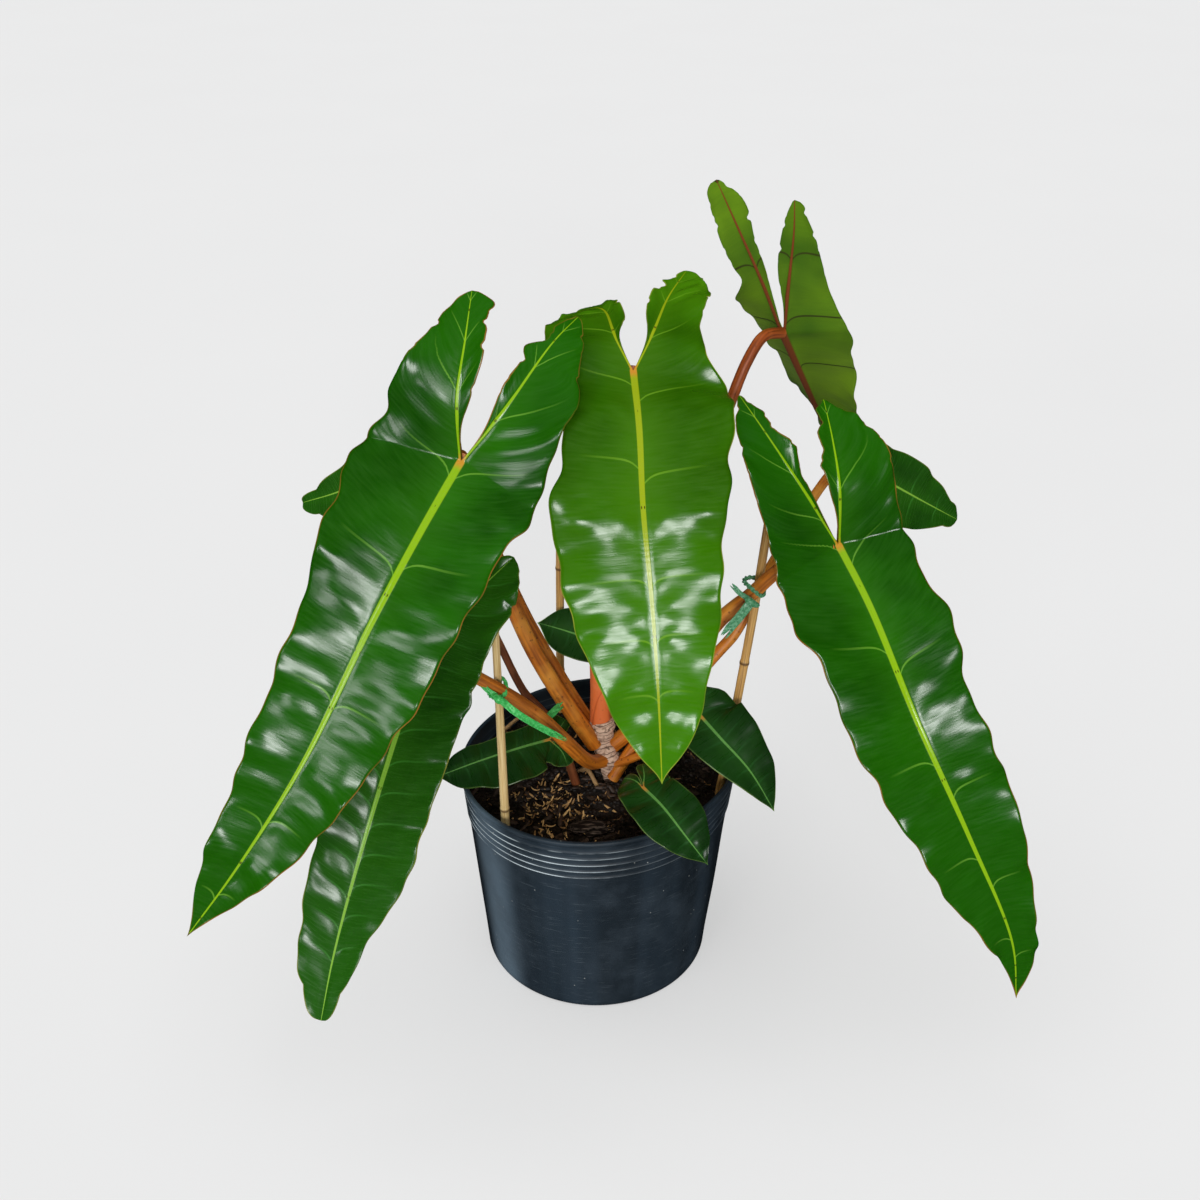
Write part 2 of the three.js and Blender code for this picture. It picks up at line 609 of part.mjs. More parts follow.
// A rod along a curve: a lathed rod, bent so that its axis follows the curve.
function rodSolid(route, radii, steps, grow = 0, sides = STALK_SIDES) {
  const curve = curveThrough(route);
  const frames = curve.computeFrenetFrames(steps, false);
  const profile = [new THREE.Vector2(0, 0)];
  for (let i = 0; i <= steps; i += 1) {
    profile.push(new THREE.Vector2(along(radii, i / steps) + grow, i));
  }
  profile.push(new THREE.Vector2(0, steps));
  const rod = new THREE.LatheGeometry(profile, sides);
  const place = rod.getAttribute("position");
  for (let i = 0; i < place.count; i += 1) {
    const step = Math.round(place.getY(i));
    const p = curve.getPointAt(step / steps)
      .addScaledVector(frames.normals[step], place.getX(i))
      .addScaledVector(frames.binormals[step], place.getZ(i));
    if (step === 0) p.addScaledVector(frames.tangents[0], -grow);
    if (step === steps) p.addScaledVector(frames.tangents[steps], grow);
    place.setXYZ(i, p.x, p.y, p.z);
  }
  const made = solid(rod);
  return made.volume() < 0 ? turnedOut(rod) : made;
}

// The same geometry with each triangle the other way round.
function turnedOut(geometry) {
  const index = geometry.index.array;
  for (let i = 0; i < index.length; i += 3) {
    [index[i + 1], index[i + 2]] = [index[i + 2], index[i + 1]];
  }
  return solid(geometry);
}

// The largest piece of a body that cuts have split, without the slivers that they leave.
function largest(body) {
  return body.decompose().reduce((a, b) => (a.volume() > b.volume() ? a : b)).simplify(SLIVER);
}

// The soft pot is out of round: more so towards the rim, which also leans a little.
function squeezed(x, y, z) {
  const share = (z / POT_HEIGHT) ** 2;
  const angle = Math.atan2(y, x) - SQUEEZE_DIRECTION;
  const stretch = 1 + SQUEEZE * share * Math.cos(2 * angle);
  return [x * stretch + RIM_LEAN * share, y * stretch, z];
}

function squeeze(geometry) {
  const place = geometry.getAttribute("position");
  for (let i = 0; i < place.count; i += 1) {
    place.setXYZ(i, ...squeezed(place.getX(i), place.getY(i), place.getZ(i)));
  }
  return geometry;
}

const wallRadius = (z) => BASE_RADIUS + ((RIM_RADIUS - BASE_RADIUS) * z) / POT_HEIGHT;

function latheUp(profile, sides) {
  return new THREE.LatheGeometry(profile.map((p) => new THREE.Vector2(...p)), sides)
    .rotateX(Math.PI / 2);
}

function potSolid() {
  const outside = [[0, 0], [BASE_RADIUS - FOOT_CHAMFER, 0], [wallRadius(FOOT_HEIGHT), FOOT_HEIGHT],
    ...WALL_LEVELS.map((z) => [wallRadius(z), z])];
  for (let i = RING_COUNT - 1; i >= 0; i -= 1) {
    const z = RING_TOP - i * RING_PITCH;
    outside.push([wallRadius(z - RING_WIDTH), z - RING_WIDTH], [wallRadius(z) + RING_HEIGHT, z],
      [wallRadius(z + RING_WIDTH), z + RING_WIDTH]);
  }
  const bead = POT_HEIGHT - BEAD_HEIGHT;
  const rim = [[wallRadius(bead - BEAD_NECK), bead - BEAD_NECK], [RIM_RADIUS + RIM_BEAD, bead],
    [RIM_RADIUS + RIM_BEAD, POT_HEIGHT], [RIM_RADIUS - WALL, POT_HEIGHT]];
  const inside = [...[...WALL_LEVELS, SOIL_EDGE].reverse().map((z) => [wallRadius(z) - WALL, z]),
    [wallRadius(BASE_THICKNESS) - WALL - INNER_CHAMFER, BASE_THICKNESS], [0, BASE_THICKNESS]];
  const shell = squeeze(latheUp([...outside, ...rim, ...inside], POT_SIDES));
  let pot = solid(shell);
  if (pot.volume() < 0) pot = turnedOut(shell);
  for (let i = 0; i < DRAIN_HOLES; i += 1) {
    const angle = ((i + 0.5) * 2 * Math.PI) / DRAIN_HOLES;
    const drill = new THREE.CylinderGeometry(DRAIN_RADIUS, DRAIN_RADIUS, DRILL_LENGTH, DRAIN_SIDES)
      .rotateX(Math.PI / 2)
      .translate(DRAIN_CIRCLE * Math.cos(angle), DRAIN_CIRCLE * Math.sin(angle), 0);
    pot = pot.subtract(solid(drill));
  }
  return pot;
}

// Height of the compost: a mound round the stem and small clods by a sum of waves.
function soilHeight(x, y) {
  const fromStem = Math.hypot(x - STEM_ROUTE[0][0], y - STEM_ROUTE[0][1]);
  const mound = SOIL_MOUND * Math.exp(-((fromStem / MOUND_RADIUS) ** 2));
  const [a, b, c, d] = CLOD_WAVES;
  const clods = Math.sin(a * x + 1) * Math.cos(b * y) + Math.sin(c * x - d * y);
  return SOIL_EDGE + mound + CLOD_HEIGHT * clods;
}

function soilSolid() {
  const floor = BASE_THICKNESS + CLEARANCE;
  const fit = WALL + CLEARANCE + FACET_ROOM;
  const edge = wallRadius(SOIL_EDGE) - fit;
  const profile = [[0, floor], [wallRadius(floor) - fit - INNER_CHAMFER, floor],
    ...[...WALL_LEVELS, SOIL_EDGE].map((z) => [wallRadius(z) - fit, z])];
  for (let i = SOIL_RINGS - 1; i >= 0; i -= 1) {
    profile.push([(edge * i) / SOIL_RINGS, SOIL_EDGE]);
  }
  const block = latheUp(profile, POT_SIDES);
  const place = block.getAttribute("position");
  for (let i = 0; i < place.count; i += 1) {
    const [x, y, z] = [place.getX(i), place.getY(i), place.getZ(i)];
    const onTop = Math.abs(z - SOIL_EDGE) < SLIVER && Math.hypot(x, y) < edge - SLIVER;
    if (onTop) place.setZ(i, soilHeight(x, y));
  }
  squeeze(block);
  const soil = solid(block);
  return soil.volume() < 0 ? turnedOut(block) : soil;
}

// A raffia tie: a loop round stick and stalk, and a flat tail.
function tieSolid(tie) {
  const axis = vector(tie.axis).normalize();
  const across = vector(tie.cross).addScaledVector(axis, -vector(tie.cross).dot(axis)).normalize();
  const third = axis.clone().cross(across);
  const around = [];
  for (let i = 0; i <= LOOP_POINTS; i += 1) {
    const angle = (i / LOOP_POINTS) * 2 * Math.PI + LOOP_START;
    around.push(vector(tie.centre)
      .addScaledVector(across, tie.radii[1] * Math.sin(-angle))
      .addScaledVector(third, tie.radii[0] * Math.cos(angle))
      .addScaledVector(axis, LOOP_TWIST * Math.sin(angle * 2)).toArray());
  }
  const loop = rodSolid(around, [LOOP_THICKNESS, LOOP_THICKNESS], LOOP_STEPS, 0, LOOP_SIDES);
  return loop.add(ribbonSolid(tie.tail));
}

// A flat strip along a curve, its broad side towards the front.
function ribbonSolid(route) {
  const curve = curveThrough(route);
  const steps = RAFFIA_STEPS;
  const positions = [];
  const faces = [];
  for (let i = 0; i <= steps; i += 1) {
    const p = curve.getPointAt(i / steps);
    const t = curve.getTangentAt(i / steps);
    const side = vector(RAFFIA_FRONT).cross(t).normalize();
    const up = t.clone().cross(side).normalize();
    [[-1, -1], [1, -1], [1, 1], [-1, 1]].forEach(([a, b]) => positions.push(...p.clone()
      .addScaledVector(side, (a * RAFFIA_WIDTH) / 2)
      .addScaledVector(up, (b * RAFFIA_THICKNESS) / 2)));
    if (i) {
      for (let k = 0; k < 4; k += 1) {
        const [a, b] = [(i - 1) * 4 + k, (i - 1) * 4 + ((k + 1) % 4)];
        faces.push(a, b, b + 4, a, b + 4, a + 4);
      }
    }
  }
  const last = steps * 4;
  faces.push(0, 2, 1, 0, 3, 2, last, last + 1, last + 2, last, last + 2, last + 3);
  const strip = new THREE.BufferGeometry()
    .setAttribute("position", new THREE.Float32BufferAttribute(positions, 3))
    .setIndex(faces);
  const made = solid(strip);
  return made.volume() < 0 ? turnedOut(strip) : made;
}

const plant = new THREE.Group();

function addNode(name, body, colour, roughness = 0.5, metalness = 0) {
  const mesh = new THREE.Mesh(geometryOf(body),
    new THREE.MeshStandardMaterial({ color: colour, roughness, metalness }));
  mesh.name = name;
  plant.add(mesh);
}

LEAVES.forEach((leaf) => {
  leaf.size = Math.min(1, curveThrough(leaf.midrib).getLength() / FULL_SIZE);
});

// Bodies are placed in turn, and each is cut clear of those before it, a little grown.
const placed = [];
const carve = (body) => placed.reduce((rest, other) => rest.subtract(other), body);

const stem = rodSolid(STEM_ROUTE, STEM_RADIUS, STEM_STEPS, 0, STEM_SIDES);
placed.push(rodSolid(STEM_ROUTE, STEM_RADIUS, STEM_STEPS, CLEARANCE, STEM_SIDES));

const sticks = STICKS.map(({ name, route, radius }) => {
  const rod = (grow) => rodSolid(route, [radius, radius], STICK_STEPS, grow, STICK_SIDES);
  const body = largest(carve(rod(0)));
  placed.push(rod(CLEARANCE));
  return { name, body };
});

const blades = LEAVES.map((leaf) => ({ leaf, body: bladeSolid(leaf) }));
blades.forEach(({ leaf }) => placed.push(bladeSolid(leaf, CLEARANCE)));

const stalks = LEAVES.map((leaf) => {
  const { route, radius } = leaf.stalk;
  const steps = Math.max(6, Math.round(curveThrough(route).getLength() / STALK_STEP));
  const body = largest(carve(rodSolid(route, radius, steps)));
  placed.push(rodSolid(route, radius, steps, CLEARANCE));
  return { name: leaf.name.replace("leaf", "stalk"), body, colour: leaf.stalk.colour };
});

const ties = TIES.map((tie) => ({ name: tie.name, body: largest(carve(tieSolid(tie))) }));
ties.push({ name: "tie_left_strip", body: largest(carve(ribbonSolid(TAIL_STRIP))) });

const litter = [["twig", TWIG], ["dry_stalk", DRY_STALK]].map(([name, { route, radius }]) => {
  const radii = [radius, radius * LITTER_TAPER];
  const rod = (grow) => rodSolid(route, radii, LITTER_STEPS, grow, LITTER_SIDES);
  return { name, body: largest(carve(rod(0))), grown: rod(CLEARANCE) };
});

const soil = litter.reduce((rest, { grown }) => rest.subtract(grown), carve(soilSolid()));

addNode("pot", potSolid(), SLATE, 0.55);
addNode("soil", largest(soil), COMPOST, 0.95);
addNode("stem", stem, PALE_BARK, 0.8);
sticks.forEach(({ name, body }) => addNode(name, body, BAMBOO, 0.6));
blades.forEach(({ leaf, body }) => addNode(leaf.name, body, leaf.colour, 0.3));
stalks.forEach(({ name, body, colour }) => addNode(name, body, colour, 0.45));
ties.forEach(({ name, body }) => addNode(name, body, RAFFIA, 0.4));
litter.forEach(({ name, body }) => addNode(name, body, STRAW, 0.8));

export default plant;
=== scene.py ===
# %% [markdown]
# # A potted philodendron billietiae
# This is a young aroid: long glossy leaves with two lobes at the stalk, which arch out on
# orange stalks from one short ringed stem. It stands in a soft round nursery pot, and three
# thin canes with green ties hold up some of the stalks. The lesson builds each piece round
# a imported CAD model, in its frame: metres, +Z up, the origin in the middle of the pot's base.

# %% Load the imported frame
import functools
import math
from types import SimpleNamespace
import bpy
import numpy as np
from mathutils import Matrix, Vector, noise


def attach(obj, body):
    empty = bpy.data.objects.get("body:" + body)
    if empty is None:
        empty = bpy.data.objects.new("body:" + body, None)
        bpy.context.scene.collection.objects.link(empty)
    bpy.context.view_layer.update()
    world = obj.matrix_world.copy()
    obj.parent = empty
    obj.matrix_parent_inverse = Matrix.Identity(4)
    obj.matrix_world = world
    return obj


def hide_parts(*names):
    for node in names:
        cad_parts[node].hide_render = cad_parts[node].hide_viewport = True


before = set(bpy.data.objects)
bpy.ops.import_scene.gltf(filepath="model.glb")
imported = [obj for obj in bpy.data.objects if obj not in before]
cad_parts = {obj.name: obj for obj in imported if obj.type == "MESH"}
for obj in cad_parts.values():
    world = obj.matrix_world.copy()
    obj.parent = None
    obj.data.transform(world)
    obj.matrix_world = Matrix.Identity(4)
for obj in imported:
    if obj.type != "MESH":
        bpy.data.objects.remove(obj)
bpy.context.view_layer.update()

# %% [markdown]
# ## The camera
# The pot's rim and base are ellipses in the picture. Their shapes gave the camera's tilt, and
# their sizes gave its distance. It stands in front of the plant and looks down at it by 31
# degrees. Its focal length is worked out for a square picture of 1200 pixels.

# %% Place the camera
MM = 0.001
PICTURE = 1200
FOCAL_PIXELS = 1445
SENSOR_MM = 36
TILT_DOWN = 31
CAMERA_PLACE = (3, -855, 818)


def add_object(name, data):
    """Puts an object with the given data into the scene."""
    thing = bpy.data.objects.new(name, data)
    bpy.context.scene.collection.objects.link(thing)
    return thing


lens = bpy.data.cameras.new("plant_camera")
lens.sensor_width = SENSOR_MM
lens.lens = SENSOR_MM * FOCAL_PIXELS / PICTURE
camera = add_object("plant_camera", lens)
camera.location = [c * MM for c in CAMERA_PLACE]
camera.rotation_euler = (math.radians(90 - TILT_DOWN), 0, 0)
bpy.context.scene.camera = camera
print("camera lens in mm:", round(lens.lens, 2))

# %% [markdown]
# ## Small helpers
# Colours are written as sRGB hex values, as a paint chart gives them, and turned to the linear
# values that the shader adds up. `put` adds one node to any tree, with its settings and links,
# so that a material reads from top to bottom. Most finishes are coats of colour over a ground
# colour, each where its pattern lets it show, and `paint_over` lays them. `keep` hands a
# finished piece to the frame.

# %% Colours, nodes, finishes and pieces
def paint(chart_colour):
    """An sRGB hex value such as "#2f3a44" as a linear colour."""
    parts = [int(chart_colour[i:i + 2], 16) / 255 for i in (1, 3, 5)]
    linear = [c / 12.92 if c <= 0.04045 else ((c + 0.055) / 1.055) ** 2.4 for c in parts]
    return (*linear, 1.0)


def feed(node, inputs):
    """Sets a node's inputs: a node or a socket is linked, and anything else is a value."""
    for key, value in inputs.items():
        socket = node.inputs[key] if isinstance(key, int) else next(
            s for s in node.inputs if s.name == key and s.enabled)
        if isinstance(value, bpy.types.Node):
            value = next(s for s in value.outputs if s.enabled)
        if isinstance(value, bpy.types.NodeSocket):
            node.id_data.links.new(value, socket)
        else:
            socket.default_value = value


def put(tree, kind, inputs=None, **settings):
    """Adds one node with its settings, values and links."""
    node = tree.nodes.new(kind)
    for name, value in settings.items():
        setattr(node, name, value)
    feed(node, inputs or {})
    return node


def new_finish(name):
    """A material by name, its shader, and `put` for its own tree."""
    material = bpy.data.materials.new(name)
    material.use_nodes = True
    tree = material.node_tree
    return material, tree.nodes["Principled BSDF"], functools.partial(put, tree)


def paint_over(node, ground, coats):
    """Coats over a ground colour: a pattern, where it begins and is full, its most, its colour."""
    tint = paint(ground)
    for pattern, begins, full, most, colour in coats:
        much = node("ShaderNodeMapRange", {
            "Value": pattern, "From Min": begins, "From Max": full, "To Max": most})
        tint = node("ShaderNodeMix", {"Factor": much, "A": tint, "B": paint(colour)},
                    data_type="RGBA")
    return tint


def keep(piece, slot, *nodes):
    """Rides a piece on the plant and hides the CAD nodes that it stands for; the slot is not used.
    """
    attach(piece, "root")
    if nodes:
        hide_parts(*nodes)
    print(piece.name, "faces:", len(piece.data.polygons))


def mesh_piece(name, corners, faces, material):
    """A smooth mesh object from corners in mm, whose place is in its mesh."""
    mesh = bpy.data.meshes.new(name)
    mesh.from_pydata((np.asarray(corners) * MM).tolist(), [], faces)
    mesh.materials.append(material)
    mesh.shade_smooth()
    return add_object(name, mesh)


print("pure red in linear light:", paint("#ff0000"))

# %% [markdown]
# ## Curves through hand-set points
# Every stalk, rib and cane was measured as a few points. A centripetal Catmull-Rom curve
# passes through all of them without loops, which is why it suits points with uneven gaps.
# The curve is then cut into equal steps, so that lengths along it are real millimetres.

# %% Smooth paths and smooth values
def smooth_path(points, count):
    """count + 1 points at equal steps of a curve through the given ones, and its length."""
    p = np.asarray(points, float)
    p = np.vstack([2 * p[0] - p[1], p, 2 * p[-1] - p[-2]])
    t = np.linspace(0, 1, 60, endpoint=False)[:, None]
    pieces = []
    for a, b, c, d in zip(p, p[1:], p[2:], p[3:]):
        gap = [max(np.linalg.norm(v - u) ** 0.5, 1e-4) for u, v in ((a, b), (b, c), (c, d))]
        leave = ((b - a) / gap[0] - (c - a) / (gap[0] + gap[1]) + (c - b) / gap[1]) * gap[1]
        arrive = ((c - b) / gap[1] - (d - b) / (gap[1] + gap[2]) + (d - c) / gap[2]) * gap[1]
        pieces.append(b + leave * t + (3 * (c - b) - 2 * leave - arrive) * t ** 2
                      + (2 * (b - c) + leave + arrive) * t ** 3)
    pieces.append(p[-2][None])
    fine = np.vstack(pieces)
    run = np.concatenate([[0], np.cumsum(np.linalg.norm(np.diff(fine, axis=0), axis=1))])
    steps = np.linspace(0, run[-1], count + 1)
    return np.stack([np.interp(steps, run, fine[:, k]) for k in range(3)], 1), run[-1]


def length_of(points):
    """Length of the curve through the given points."""
    return smooth_path(points, 10)[1]


def smooth_values(values, x):
    """Smooth values between evenly spaced ones, for x from 0 to 1."""
    v = np.asarray(values, float)
    last = len(v) - 1
    q = np.clip(np.asarray(x, float), 0, 1) * last
    k = np.minimum(q.astype(int), last - 1)
    t = q - k
    a, b, c, d = (v[np.clip(k + i, 0, last)] for i in (-1, 0, 1, 2))
    return 0.5 * (2 * b + (c - a) * t + (2 * a - 5 * b + 4 * c - d) * t ** 2
                  + (3 * b - a - 3 * c + d) * t ** 3)


def unit(v):
    """Directions of length one."""
    v = np.asarray(v, float)
    return v / np.maximum(np.linalg.norm(v, axis=-1, keepdims=True), 1e-9)


def ramp(x, low, high):
    """A soft step: 0 below low, 1 above high."""
    t = np.clip((np.asarray(x, float) - low) / (high - low), 0, 1)
    return t * t * (3 - 2 * t)


print("a path of 10 steps has", len(smooth_path([[0, 0, 0], [1, 0, 0]], 10)[0]), "points")

# %% [markdown]
# ## The leaves as they were measured
# Every leaf differs in length, lean and width, so no single leaf can be copied. Each is a short
# list of points in millimetres, the same ones as in the CAD part. Left and right are
# those of the upper face with the tip down, and pairs of values are for those two halves.
#
# - `route` is the path of the stalk, whose radius at even steps stands before it.
# - `midrib` runs from the stalk to the tip, and `lobes` are the veins of the two lobes.
# - `face` and `lobe_face` tell which way the upper face looks, from the stalk to the ends.
# - `blade`, `lobe_outer` and `lobe_inner` are half widths at even steps.
# - `fold` is an angle at the lobe's end, the stalk and the tip, in degrees, and `curl` is by
#   how many degrees a half bends over there in 100 mm of its width.
# - `wave` is the slow wave of the margin: its height, its number and where it starts.
# - `veins` are the places where side veins leave the rib, below 0 on the lobe. The small
#   leaves have none that stand out, only even pleats.
# - `swing` is how far towards the lobe's end a side vein has moved at the margin. Its six
#   places are the lobe's end, 0.38 of the lobe before the stalk, the stalk, 0.2 and 0.43 of
#   the midrib, and the tip.
# - `relief` is the height of the pleats, that of the margin's small waves, and their seed.
# - `blunt` is the length over which a tip is rounded.

# %% The leaf table
EVEN_VEINS = np.arange(-40, 200, 13)
USUAL_SWING = [40, 36, 32, 8, 0, -8]


def measured(name, slot, stalk_slot, radii, **sizes):
    """One leaf with its measures; the veins of its lobes start where its midrib does."""
    usual = {"fold_right": sizes["fold"], "swing": USUAL_SWING, "blunt": 0,
             "veins": [EVEN_VEINS] * 2, "pleated": "veins" not in sizes}
    sizes["lobes"] = [[sizes["midrib"][0], *lobe] for lobe in sizes["lobes"]]
    return SimpleNamespace(name=name, slot=slot, stalk_slot=stalk_slot, radii=radii,
                           **{**usual, **sizes})


